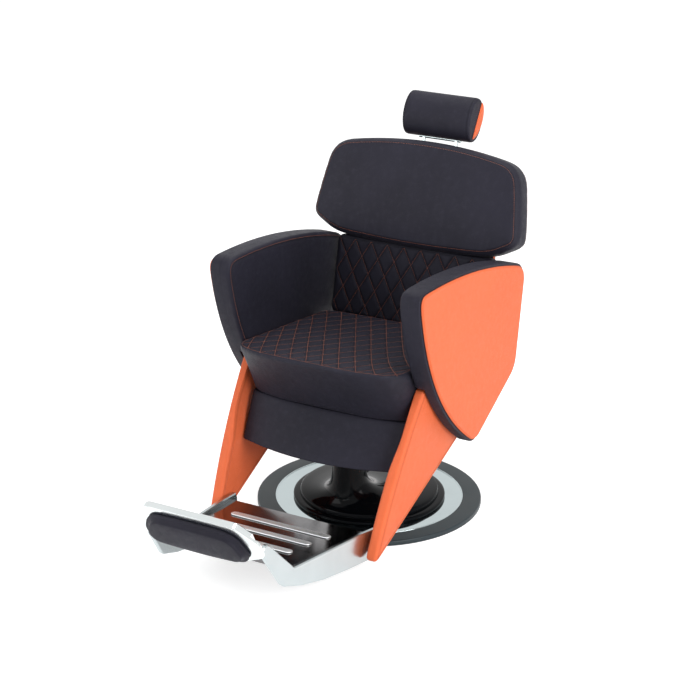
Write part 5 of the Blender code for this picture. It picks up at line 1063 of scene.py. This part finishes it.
# ------------------------------------------------------------------ back
class OBJECT_OT_chair_lower_back(bpy.types.Operator):
    """Quilted lower back cushion, swelled between upright diamonds"""
    bl_idname = "object.chair_lower_back"
    bl_label = "Lower back cushion"

    def execute(self, context):
        """The cushion and its quilting, counted from its top."""
        tilt = np.hypot(BACK_SLOPE, 1)
        high = (BACK_HEAD + 0.012 - BACK_FOOT) * tilt - 2 * BORDER
        half = BACK_HALF - BORDER
        front = np.array((0, -1, BACK_SLOPE)) / tilt

        def face(u, v):
            """Across, rise and crown of a place on the face."""
            across = half * (2 * u - 1)
            return across, BORDER + high * v, BACK_CROWN * (1 - (across / half) ** 2)

        def shares(points):
            """The u of places on the face, and their v from the top down."""
            foot = back_place(*np.zeros((3, 1)))[0]
            rise = (points - foot) @ (np.array((0, BACK_SLOPE, 1)) / tilt)
            return (points[:, 0] / half + 1) / 2, 1 - (rise - BORDER) / high
        border = rounded(border_of(90, 44), 0.05, 0.11)
        sides = [(s, 0.003 * s) for s in np.linspace(0.15, 1, 6)]
        rings = cushion(border, face, back_place, 0.0005 - BACK_THICK, BORDER * 0.93, 24, sides, 5)
        across, rise, out = face(*border.T)
        field = (BACK_ACROSS, BACK_ALONG)
        wide, depth = upholstery().channel_width, upholstery().channel_depth
        piece, _ = quilted("quilted_lower_back", rings, back_place(across, rise, out - SUNK), front,
                           shares, field, np.hypot(BACK_ACROSS / (2 * half), BACK_ALONG / high),
                           0.0060, 0.015, (depth * 0.9, wide * 0.9), (0.0024, wide * 0.7))
        declare(piece, "back", ["lower_back_cushion"])

        def above(u, v):
            """Places in front of the face."""
            across, rise, out = face(u, 1 - v)
            return back_place(across, rise, out - SUNK) + front * 0.08
        run = np.hypot(2 * half / BACK_ACROSS, high / BACK_ALONG)
        sew("lower_back_thread", "back", "dark_leather", "dark_thread",
            quilting(piece, field, run, above, -front))
        return {"FINISHED"}


class OBJECT_OT_chair_wing(bpy.types.Operator):
    """Upper back cushion: a plain swelled front, a boxing band and two stitched seams"""
    bl_idname = "object.chair_wing"
    bl_label = "Upper back cushion"

    def execute(self, context):
        """The cushion, and stitches along its front and rear seams."""
        outline = bowed_outline(WING_CORNERS, WING_BOWS, WING_SETBACKS)

        def place(u, v, w):
            """A place in the cushion's axes with w out of its front."""
            return wing_place(u, v, -w)
        rim = [(0.010, 0.0005 - WING_THICK), (0.004, 0.003 - WING_THICK), (0.0015, 0.010 - WING_THICK),
               (0.001, -0.055), (0.001, -0.03), (0.001, -0.02),
               *quarter((0.001, -0.014), (0.014, -0.001))[1:]]
        piece = remeshed("upper_back_cover", slab_rings(outline, place, rim, 0.0065, 0, 22),
                         upholstery().voxel * 1.2)
        front = np.array((0, -1, WING_SLOPE)) / np.hypot(WING_SLOPE, 1)
        seam, _ = nearest_on_cover(piece, wing_place(*inset(outline, 0.012).T, 0))
        rear, _ = nearest_on_cover(piece, wing_place(*inset(outline, 0).T, 0.073))
        points, facing = read(piece.data), read(piece.data, "normal") @ front
        pinned = np.maximum(bell(distance_to(points, seam), 0.006), bell(distance_to(points, rear), 0.006))
        inflate(piece, np.maximum(pinned, smooth_step(-facing, 0.3, 0.7)),
                0.0012 + 0.0075 * smooth_step(facing, 0.5, 0.9))
        subdivide(piece)
        points = read(piece.data)
        wide = upholstery().channel_width
        press(piece, [(distance_to(points, seam), 0.0022, wide * 0.62),
                      (distance_to(points, rear), 0.0018, wide * 0.6)])
        declare(piece, "back", ["upper_back_cushion"])
        sew("upper_back_thread", "back", "dark_leather", "dark_thread",
            *[stitches(*sewn(*nearest_on_cover(piece, even(path, 500))), upholstery().thread_radius)
              for path in (seam, rear)])
        return {"FINISHED"}


# ------------------------------------------------------------------ arms, legs and skirt
def above_ledge(outline):
    """The part of an arm's outline above the ledge line, cut along that line."""
    level = outline[:, 1] - ledge(outline[:, 0])
    keep = level >= 0
    begin = int(np.flatnonzero(keep & ~np.roll(keep, 1))[0])
    rolled = np.roll(outline, -begin, 0)
    level = rolled[:, 1] - ledge(rolled[:, 0])
    last = int(np.flatnonzero(level < 0)[0])

    def crossing(a, b):
        """Where the line from a to b crosses the ledge."""
        la, lb = a[1] - ledge(a[0]), b[1] - ledge(b[0])
        return a + (b - a) * la / (la - lb)
    head = crossing(rolled[0], rolled[-1])
    tail = crossing(rolled[last - 1], rolled[last])
    base = tail + (head - tail) * np.linspace(0, 1, 60)[:, None]
    line = even(np.concatenate([rolled[:last], base]), 320)
    weights = np.hanning(9)[1:-1] / np.hanning(9).sum()
    return sum(np.roll(line, k - 3, 0) * weight for k, weight in enumerate(weights))


def beside(side, start):
    """Places on one side of the chair: u along, v up and w outwards from start."""
    def place(u, v, w):
        """x = side times (start + w), y = u and z = v."""
        return np.stack([side * (start + w) + 0 * u, u + 0 * w, v + 0 * w], -1)
    return place


class OBJECT_OT_chair_arms(bpy.types.Operator):
    """Arms: a dark body with its stepped inner side, and the outer panel with a seamed rim"""
    bl_idname = "object.chair_arms"
    bl_label = "Arms"

    def execute(self, context):
        """Each arm's inner and outer slab, panel and thread."""
        outline = bowed_outline(ARM_CORNERS, ARM_BOWS, ARM_SETBACKS, 60, 26)
        upper = above_ledge(outline)
        deep, step = ARM_FACE - ARM_INNER, ARM_FLAP - ARM_INNER
        inner_rim = [(SEAM + 0.0016, 0.0), (SEAM + 0.0006, 0.0009), (SEAM, 0.0011),
                     (SEAM - 0.0006, 0.0009), (SEAM - 0.0014, 0.0),
                     *quarter((0.011, 0.0), (0.0, 0.011))[1:],
                     (0.0, step), (0.0, step + 0.0004), (0.0006, step + 0.001)]
        outer_rim = [(0.0003, step), (0.0, step + 0.0003), (0.0, step + 0.0012), (0.0, deep - 0.004),
                     (0.0006, deep - 0.002), (0.002, deep - 0.0006), (0.004, deep)]
        thick = ARM_OUTER - ARM_FACE - GAP
        panel_rim = [(0.0095, 0.0), (0.0080, 0.0006), (0.0072, thick * 0.25), (0.0072, thick * 0.45),
                     *quarter((0.0072, thick * 0.5), (0.0112, thick))[1:], (0.0140, thick + 0.0001)]
        for name, side in SIDES:
            place = beside(side, ARM_INNER)
            body = add("arm_cover_" + name,
                       together(slab(upper, place, inner_rim, 0.0, 0.002), slab(outline, place, outer_rim)),
                       "dark_leather", "seat", ["arm_body_" + name])
            # painted shade along the inner face's seam and, below, along the panel's rim
            paint_seam_shade(body, upper, SEAM)
            panel = add("arm_panel_cover_" + name,
                        slab(outline, beside(side, ARM_FACE + GAP), panel_rim, 0.0016),
                        "orange_leather", "seat", ["arm_panel_" + name])
            paint_seam_shade(panel, outline, 0.007)
            path = place(*inset(upper, SEAM - 0.0032).T, 0.0006)
            out = np.broadcast_to(np.array((-side, 0.0, 0.0)), path.shape)
            sew("arm_thread_" + name, "seat", "dark_leather", "dark_thread",
                stitches(*sewn(path, out), upholstery().thread_radius))
        return {"FINISHED"}


class OBJECT_OT_chair_legs(bpy.types.Operator):
    """Side legs: leaning slabs with rolled edges, clear of the seat cushion, seamed on both faces"""
    bl_idname = "object.chair_legs"
    bl_label = "Side legs"

    def execute(self, context):
        """Each leg's slab and the thread of its two faces; the inner one ends under the skirt."""
        outline = bowed_outline(LEG_CORNERS, LEG_BOWS, LEG_SETBACKS, 60, 26)
        dip = ((0.0018, 0.0), (0.0007, 0.0009), (0, 0.0012), (-0.0007, 0.0009), (-0.0016, 0.0002))
        round_edge = quarter((0.010, 0.0), (0.0, 0.010))
        rim = [*[(SEAM + d, w) for d, w in dip], *round_edge[1:], (0.0, LEG_THICK / 2),
               *[(d, LEG_THICK - w) for d, w in round_edge[::-1]],
               *[(SEAM + d, LEG_THICK - w) for d, w in dip[3::-1]]]
        for name, side in SIDES:
            def place(u, v, w, side=side):
                """A place that leans with the leg, and stands clear of the seat further up."""
                inner = leg_inner(v)
                clear = inner + smooth_step(v, 0.255, 0.384) * (SEAT_CLEAR - inner)
                return np.stack([side * np.maximum(inner + w, clear + 0 * w), u + 0 * w, v + 0 * w], -1)
            leg = add("leg_cover_" + name, slab(outline, place, rim, 0.0022, 0.0015), "orange_leather",
                      "seat", ["side_leg_" + name])
            # painted shade along the leg's seam
            paint_seam_shade(leg, outline, SEAM)
            made = []
            for depth, way in ((0.0002, -side), (LEG_THICK - 0.0002, side)):
                path = inset(outline, SEAM + 0.0034)
                if way != side:
                    path = path[path[:, 1] < 0.25]
                    gaps = np.linalg.norm(np.roll(path, -1, 0) - path, axis=1)
                    path = np.roll(path, -1 - int(np.argmax(gaps)), 0)
                path = place(*path.T, depth)
                out = np.broadcast_to(np.array((way, 0.0, 0.0)), path.shape)
                made.append(stitches(*sewn(path, out, way == side), upholstery().thread_radius))
            sew("leg_thread_" + name, "seat", "orange_leather", "orange_thread", *made)
        return {"FINISHED"}


def skirt_line(s, z):
    """Outside of the skirt in plan at a height, for s from -1 to 1: return, corner, bowed front,
    corner and return."""
    share = (z - SKIRT_BOTTOM[1]) / (SEAT_FOOT - SKIRT_BOTTOM[1])
    half = leg_inner(z) - 0.002
    flat = half - SKIRT_CORNER
    y_corner = SKIRT_BOTTOM[0] + (SKIRT_TOP_Y - SKIRT_BOTTOM[0]) * share
    bow = SKIRT_BOWS[0] + (SKIRT_BOWS[1] - SKIRT_BOWS[0]) * share

    def front(x):
        """The bowed front: its corner less the bow times 1 - (x / half) squared."""
        return y_corner - bow * (1 - (x / half) ** 2)
    size = np.abs(s)
    centre_y = front(flat) + SKIRT_CORNER
    x = np.clip(size / SKIRT_BEND, 0, 1) * flat
    turn = np.clip((size - SKIRT_BEND) / (SKIRT_SIDE - SKIRT_BEND), 0, 1) * np.pi / 2
    run = np.clip((size - SKIRT_SIDE) / (1 - SKIRT_SIDE), 0, 1)
    kinds = [size <= SKIRT_BEND, size <= SKIRT_SIDE]
    made_x = np.select(kinds, [x, flat + SKIRT_CORNER * np.sin(turn)], half)
    made_y = np.select(kinds, [front(x), centre_y - SKIRT_CORNER * np.cos(turn)],
                       centre_y + run * (SKIRT_RETURN - SKIRT_CORNER + 0.004))
    return made_x * np.sign(s + 1e-12), made_y


class OBJECT_OT_chair_skirt(bpy.types.Operator):
    """Skirt under the seat: an upholstered band carried round three sides, rolled at its foot"""
    bl_idname = "object.chair_skirt"
    bl_label = "Skirt"

    def execute(self, context):
        """The band's section, carried along the line and turned with it."""
        stops = (-1, -SKIRT_SIDE, -SKIRT_BEND, SKIRT_BEND, SKIRT_SIDE, 1)
        s = np.concatenate([[-1], *[np.linspace(low, high, count)[1:] for low, high, count
                                    in zip(stops, stops[1:], (12, 10, 90, 10, 12))]])
        low, high, wall = SKIRT_BOTTOM[1], SKIRT_TOP, SKIRT_WALL
        rise = np.linspace(low + wall * 0.6, high - 0.002, 16)
        turn = np.linspace(0, np.pi, 12)[1:-1]
        z = np.concatenate([rise, [high, high], rise[::-1], low + wall * 0.6 * (1 - np.sin(turn))])
        depth = np.concatenate([0 * rise, [0.002, wall - 0.002], 0 * rise + wall,
                                wall / 2 * (1 + np.cos(turn))])
        rows = []
        for where in s:
            x, y = skirt_line(np.full(len(z), where), z)
            x1, y1 = skirt_line(np.full(len(z), min(where + 0.002, 1.0)), z)
            x0, y0 = skirt_line(np.full(len(z), max(where - 0.002, -1.0)), z)
            tangent = unit(np.stack([x1 - x0, y1 - y0], 1))
            rows.append(np.stack([x - tangent[:, 1] * depth, y + tangent[:, 0] * depth, z], 1))
        piece = add("skirt_cover", capped(np.array(rows)), "dark_leather", "seat",
                    ["skirt"])
        # painted shade along the band's rolled foot: darker towards its bottom
        mark(piece, 0.4 * bell(read(piece.data)[:, 2] - low, 0.006))
        return {"FINISHED"}


# ------------------------------------------------------------------ headrest and calf pad
class OBJECT_OT_chair_headrest(bpy.types.Operator):
    """Headrest roll with a welt at each end and a padded end panel"""
    bl_idname = "object.chair_headrest"
    bl_label = "Headrest"

    def execute(self, context):
        """The roll, pressed round its bar, and a padded half-moon on each end."""
        up = np.array((0, np.sin(ROLL_LEAN), np.cos(ROLL_LEAN)))
        back = np.array((0, np.cos(ROLL_LEAN), -np.sin(ROLL_LEAN)))
        middle = BAR + up * ROLL_HIGH - back * ROLL_FORWARD
        turn = np.linspace(0, 2 * np.pi, 96, endpoint=False)

        def ring(across, scale):
            """An ellipse round the roll's middle line."""
            scale = scale * ROLL_COVER
            return (middle + np.array((across, 0, 0)) + np.outer(np.sin(turn) * (ROLL_HIGH * scale), up)
                    + np.outer(np.cos(turn) * (ROLL_DEEP * scale), back))
        long = ROLL_HALF + 0.004
        end = [(long, share) for share in np.linspace(0.1, 0.8, 7)]
        end += [(long - 0.007 * (1 - np.cos(t)), 0.88 + 0.12 * np.sin(t))
                for t in np.linspace(0, np.pi / 2, 7)[1:]]
        rows = [ring(-across, scale) for across, scale in end]
        rows += [ring(across, 1) for across in np.linspace(-long + 0.012, long - 0.012, 40)]
        rows += [ring(across, scale) for across, scale in end[::-1]]
        piece = remeshed("headrest_cover", rows, 0.004)
        inflate(piece, smooth_step(np.abs(read(piece.data)[:, 0]), long - 0.014, long - 0.002), 0.003)
        subdivide(piece)
        welt = np.abs(np.abs(read(piece.data)[:, 0]) - (ROLL_HALF - 0.004))
        press(piece, [(welt, 0.0007, 0.0016)])
        points = read(piece.data)
        off = points[:, 1:] - BAR[1:]
        far = np.linalg.norm(off, axis=1)
        near = (far < BAR_CLEAR) & (np.abs(points[:, 0]) < 0.073)
        points[near, 1:] = BAR[1:] + off[near] / np.maximum(far[near, None], 1e-6) * BAR_CLEAR
        put(piece.data, points)
        declare(piece, "headrest_roll", ["headrest_roll"])
        turn = np.linspace(-np.pi / 2 + 0.13, np.pi / 2 - 0.13, 90)
        arc = 0.87 * ROLL_COVER * np.stack([ROLL_DEEP * np.cos(turn), ROLL_HIGH * np.sin(turn)], 1)
        arc += np.array((0.18, 0.0)) * arc[:, 1:]
        chord = arc[-1] + (arc[0] - arc[-1]) * np.linspace(0, 1, 60)[1:-1, None]
        outline = even(np.concatenate([arc, chord]), 180)
        outline = sum(np.roll(outline, k, 0) for k in range(-3, 4)) / 7
        rim = [(0.004, 0.0), (0.001, 0.0006), (0.0, 0.0014), *quarter((0.0, 0.0016), (0.003, 0.0030))[1:]]
        for name, side in SIDES:
            def place(u, v, w, side=side):
                """A place on the roll's end: u back, v up and w outwards."""
                u, v, w = np.broadcast_arrays(u, v, w)
                return (middle + u[:, None] * back + v[:, None] * up
                        + (side * (ROLL_HALF + 0.0036 + w))[:, None] * np.array((1, 0, 0)))
            mark(add("headrest_end_" + name, slab(outline, place, rim, 0.0006), "orange_leather",
                     "headrest_roll", ["headrest_cap_" + name]))
        return {"FINISHED"}


class OBJECT_OT_chair_calf_pad(bpy.types.Operator):
    """Calf pad: a small pad with a full round edge on the front of its cast frame"""
    bl_idname = "object.chair_calf_pad"
    bl_label = "Calf pad"

    def execute(self, context):
        """One slab on the front of the frame."""
        outline = bowed_outline(CALF_CORNERS, (0.002, 0.001, 0.006, 0.001, 0.002, 0.004),
                                (0.036, 0.022, 0.022, 0.022, 0.022, 0.036), 40, 16)
        rim = [(0.006, GAP), (0.002, 0.0012), (0.0004, 0.004), (0.0, 0.0065),
               *quarter((0.0, 0.0065), (0.016, 0.0200), 9)[1:]]
        mark(add("calf_pad_cover", slab(outline, flip_place, rim, 0.0035, 0, 20), "dark_leather",
                 "calf_pad", ["calf_pad"]))
        return {"FINISHED"}


class OBJECT_OT_chair_grip_strips(bpy.types.Operator):
    """Grip strips on the tread: round-ended bars with slanted ribs across them"""
    bl_idname = "object.chair_grip_strips"
    bl_label = "Grip strips"

    def execute(self, context):
        """Each strip as sections across it, whose tops follow the ribs and fall at the edges."""
        tilt = np.hypot(TREAD_SLOPE, 1)
        up = np.array((0, TREAD_SLOPE, 1)) / tilt
        along = np.array((0, 1, -TREAD_SLOPE)) / tilt
        across = np.concatenate([np.linspace(-1, 1, 13), np.linspace(1, -1, 13)[1:-1]])
        upper = np.arange(len(across)) < 13
        for number, (y, half) in enumerate(STRIPS, 1):
            x = np.linspace(-half + 1e-4, half - 1e-4, int(half * 2 / 0.0008))[:, None]
            end = np.clip(np.abs(x) - (half - STRIP_HALF), 0, STRIP_HALF)
            reach = np.sqrt(np.maximum(STRIP_HALF ** 2 - end ** 2, 1e-9))
            v = across * reach
            rib = 0.5 + 0.5 * np.sin((x + v * 0.9) * 2 * np.pi / RIB_PITCH)
            shoulder = (np.clip((1 - np.abs(across)) * 4, 0, 1)
                        * np.clip(reach / STRIP_HALF * 2 - 0.5, 0, 1))
            top = 0.0026 + shoulder * (0.0005 + 0.0016 * smooth_step(rib, 0.15, 0.85))
            w = np.where(upper, top, 0.0)
            seat = np.array((0, y, TREAD_Z + TREAD_SLOPE * (TREAD_Y - y))) + up * GAP
            rings = (seat + x[..., None] * np.array((1, 0, 0)) + v[..., None] * along
                     + w[..., None] * up)
            add("ribbed_strip_%d" % number, capped(rings), "ribbed", "seat",
                ["grip_strip_%d" % number])
        return {"FINISHED"}


# ------------------------------------------------------------------ rear shell
def spine(z, depth):
    """How far back the boards' rear lies at a height: the further of the two slopes, blended."""
    slopes = []
    for y, foot, slope, thick in ((WING_Y, WING_Z, WING_SLOPE, WING_THICK),
                                  (BACK_Y, BACK_Z, BACK_SLOPE, BACK_THICK)):
        slopes.append(y + slope * (z - foot) + (thick + GAP + BOARD + depth) * np.hypot(slope, 1))
    wing, lower = slopes
    blend = 0.5 * (wing + lower + np.sqrt((wing - lower) ** 2 + 1e-5))
    return np.minimum(np.maximum(wing, lower) + 0.002, blend)


class OBJECT_OT_chair_rear_shell(bpy.types.Operator):
    """Rear shell: a channel lofted up the back, its half width a smooth curve of the height"""
    bl_idname = "object.chair_rear_shell"
    bl_label = "Rear shell"

    def execute(self, context):
        """Outer and inner lines of each level, lofted, with a strip of faces at both ends."""
        levels = np.array(COVER_LEVELS)
        z = np.linspace(levels[0, 0], levels[-1, 0], 110)
        half = np.interp(z, levels[:, 0], levels[:, 1])
        kernel = np.hanning(11) / np.hanning(11).sum()
        half = np.convolve(np.pad(half, 5, "reflect", reflect_type="odd"), kernel, "valid")
        corner = SHELL_CORNER
        turn = np.linspace(0, np.pi / 2, 9)
        rows = []
        for height, wide in zip(z, half):
            section = []
            for wall in (0, SHELL_WALL):
                bend = corner - wall
                x = np.concatenate([[-wide + wall], -wide + corner - bend * np.cos(turn),
                                    np.linspace(-wide + corner, wide - corner, 40)[1:-1],
                                    wide - corner + bend * np.sin(turn), [wide - wall]])
                d = np.concatenate([[0.003], SHELL_DEEP - corner + bend * np.sin(turn),
                                    np.full(38, SHELL_DEEP - wall),
                                    SHELL_DEEP - corner + bend * np.cos(turn), [0.003]])
                swell = 0 if wall else SHELL_SWELL * np.clip(1 - (x / wide) ** 2, 0, 1)
                section.append(np.stack([x, d + swell], 1)[::-1 if wall else 1])
            x, d = np.concatenate(section).T
            rows.append(np.stack([x, spine(height, d), np.full(len(x), height)], 1))
        rings = np.array(rows)
        count, columns = rings.shape[:2]
        pairs = np.arange(columns // 2 - 1)
        mirror = columns - 1 - pairs
        end = np.stack([pairs, pairs + 1, mirror - 1, mirror], 1)
        faces = np.concatenate([band(count, columns, False), end, end + (count - 1) * columns])
        mark(add("rear_shell", outward(rings.reshape(-1, 3), faces, []), "orange_leather", "back",
                 ["back_cover"]))
        return {"FINISHED"}


# ------------------------------------------------------------------ stage
class SCENE_OT_chair_stage(bpy.types.Operator):
    """Pale floor, white surround, soft lamps and the camera"""
    bl_idname = "scene.chair_stage"
    bl_label = "Stage"

    def execute(self, context):
        """Floor, surround, three lamps and the camera."""
        scene = context.scene
        stage = scene.chair_stage
        scene.view_settings.view_transform = "Standard"
        self.floor()
        self.surround(stage.sky)
        self.lamp("key_lamp", (3.9, -1.7, 1.9), (0, 0, 0.5), 2.6, 2.2, stage.key)
        self.lamp("fill_lamp", (-2.8, -3.2, 1.8), (0, 0, 0.5), 2.4, 2.4, stage.fill)
        self.lamp("top_lamp", (0.2, 0.3, 3.8), (0, -0.1, 0.3), 3.0, 2.2, stage.key * 0.50)
        self.camera(stage)
        return {"FINISHED"}

    @staticmethod
    def floor():
        """A plane that is white to the camera in full light and keeps the soft shadow."""
        mesh = bpy.data.meshes.new("floor")
        mesh.from_pydata([(-30, -30, 0), (30, -30, 0), (30, 30, 0), (-30, 30, 0)], [], [(0, 1, 2, 3)])
        made = bpy.data.objects.new("floor", mesh)
        bpy.context.scene.collection.objects.link(made)
        finish = Finish("pale_floor", (0.86, 0.86, 0.86), 0.9, Specular_IOR_Level=0.1)
        mesh.materials.append(finish.material)
        tree = finish.tree
        path = finish.node("LightPath").outputs
        seen = finish.sum(path["Is Camera Ray"], finish.sum(path["Is Glossy Ray"],
                                                           path["Is Transmission Ray"], "MAXIMUM"), "MAXIMUM")
        glow = finish.node("Emission", {"Color": (1, 1, 1, 1), "Strength": 0.64})
        both = finish.node("AddShader", {0: finish.shader.outputs[0], 1: glow.outputs[0]})
        mix = finish.node("MixShader", {0: seen, 1: finish.shader.outputs[0], 2: both.outputs[0]})
        tree.links.new(mix.outputs[0], tree.nodes["Material Output"].inputs["Surface"])

    @staticmethod
    def surround(strength):
        """White to the camera and in reflections, softer as a light."""
        world = bpy.data.worlds.new("surround")
        bpy.context.scene.world = world
        world.use_nodes = True
        tree = world.node_tree
        ground = tree.nodes["Background"]
        ground.inputs["Color"].default_value = (1, 1, 1, 1)
        ground.inputs["Strength"].default_value = strength
        seen = tree.nodes.new("ShaderNodeBackground")
        seen.inputs["Color"].default_value = (1, 1, 1, 1)
        seen.inputs["Strength"].default_value = 1.0
        path = tree.nodes.new("ShaderNodeLightPath")
        mix = tree.nodes.new("ShaderNodeMixShader")
        seen_by = path.outputs["Is Camera Ray"]
        for ray in ("Is Glossy Ray", "Is Transmission Ray"):
            either = tree.nodes.new("ShaderNodeMath")
            either.operation = "MAXIMUM"
            tree.links.new(seen_by, either.inputs[0])
            tree.links.new(path.outputs[ray], either.inputs[1])
            seen_by = either.outputs[0]
        tree.links.new(seen_by, mix.inputs[0])
        tree.links.new(ground.outputs[0], mix.inputs[1])
        tree.links.new(seen.outputs[0], mix.inputs[2])
        tree.links.new(mix.outputs[0], tree.nodes["World Output"].inputs["Surface"])

    @staticmethod
    def lamp(name, place, target, wide, high, power):
        """A rectangular lamp at a place, turned to its target."""
        light = bpy.data.lights.new(name, "AREA")
        light.shape = "RECTANGLE"
        light.size, light.size_y, light.energy = wide, high, power
        made = bpy.data.objects.new(name, light)
        made.location = place
        made.rotation_euler = (Vector(target) - Vector(place)).to_track_quat("-Z", "Y").to_euler()
        bpy.context.scene.collection.objects.link(made)

    @staticmethod
    def camera(stage):
        """Camera on its angles round the target, long lens, no roll."""
        a, e = stage.azimuth, stage.elevation
        back = Vector((np.sin(a) * np.cos(e), -np.cos(a) * np.cos(e), np.sin(e)))
        eye = bpy.data.cameras.new("camera")
        eye.lens, eye.sensor_width = LENS, SENSOR
        eye.clip_end = 100
        made = bpy.data.objects.new("camera", eye)
        made.location = Vector(TARGET) + back * stage.distance
        made.rotation_euler = (-back).to_track_quat("-Z", "Y").to_euler()
        bpy.context.scene.collection.objects.link(made)
        bpy.context.scene.camera = made


PIECES = (OBJECT_OT_chair_finishes, OBJECT_OT_chair_base, OBJECT_OT_chair_seat,
          OBJECT_OT_chair_lower_back, OBJECT_OT_chair_wing, OBJECT_OT_chair_arms,
          OBJECT_OT_chair_legs, OBJECT_OT_chair_skirt, OBJECT_OT_chair_headrest,
          OBJECT_OT_chair_calf_pad, OBJECT_OT_chair_grip_strips, OBJECT_OT_chair_rear_shell,
          SCENE_OT_chair_stage)


class VIEW3D_PT_chair(bpy.types.Panel):
    """Lists the chair's settings and pieces"""
    bl_idname = "VIEW3D_PT_chair"
    bl_label = "Barber chair"
    bl_space_type = "VIEW_3D"
    bl_region_type = "UI"
    bl_category = "Barber chair"

    def draw(self, context):
        """A box of each group's settings, and a button for each piece."""
        scene = context.scene
        for group in (scene.chair_colours, scene.chair_upholstery, scene.chair_stage):
            box = self.layout.box()
            for name in group.bl_rna.properties.keys():
                if name not in ("rna_type", "name"):
                    box.prop(group, name)
        for piece in PIECES:
            self.layout.operator(piece.bl_idname)


CLASSES = (ChairColours, ChairUpholstery, ChairStage, *PIECES, VIEW3D_PT_chair)


def register():
    """Registers the classes and hangs the settings on the scene."""
    for item in CLASSES:
        bpy.utils.register_class(item)
    bpy.types.Scene.chair_colours = bpy.props.PointerProperty(type=ChairColours)
    bpy.types.Scene.chair_upholstery = bpy.props.PointerProperty(type=ChairUpholstery)
    bpy.types.Scene.chair_stage = bpy.props.PointerProperty(type=ChairStage)


def unregister():
    """Takes back what register did."""
    del bpy.types.Scene.chair_colours, bpy.types.Scene.chair_upholstery, bpy.types.Scene.chair_stage
    for item in reversed(CLASSES):
        bpy.utils.unregister_class(item)


def main():
    """Builds every piece in order."""
    register()
    for piece in PIECES:
        group, name = piece.bl_idname.split(".")
        getattr(getattr(bpy.ops, group), name)()


if __name__ == "__main__":
    main()
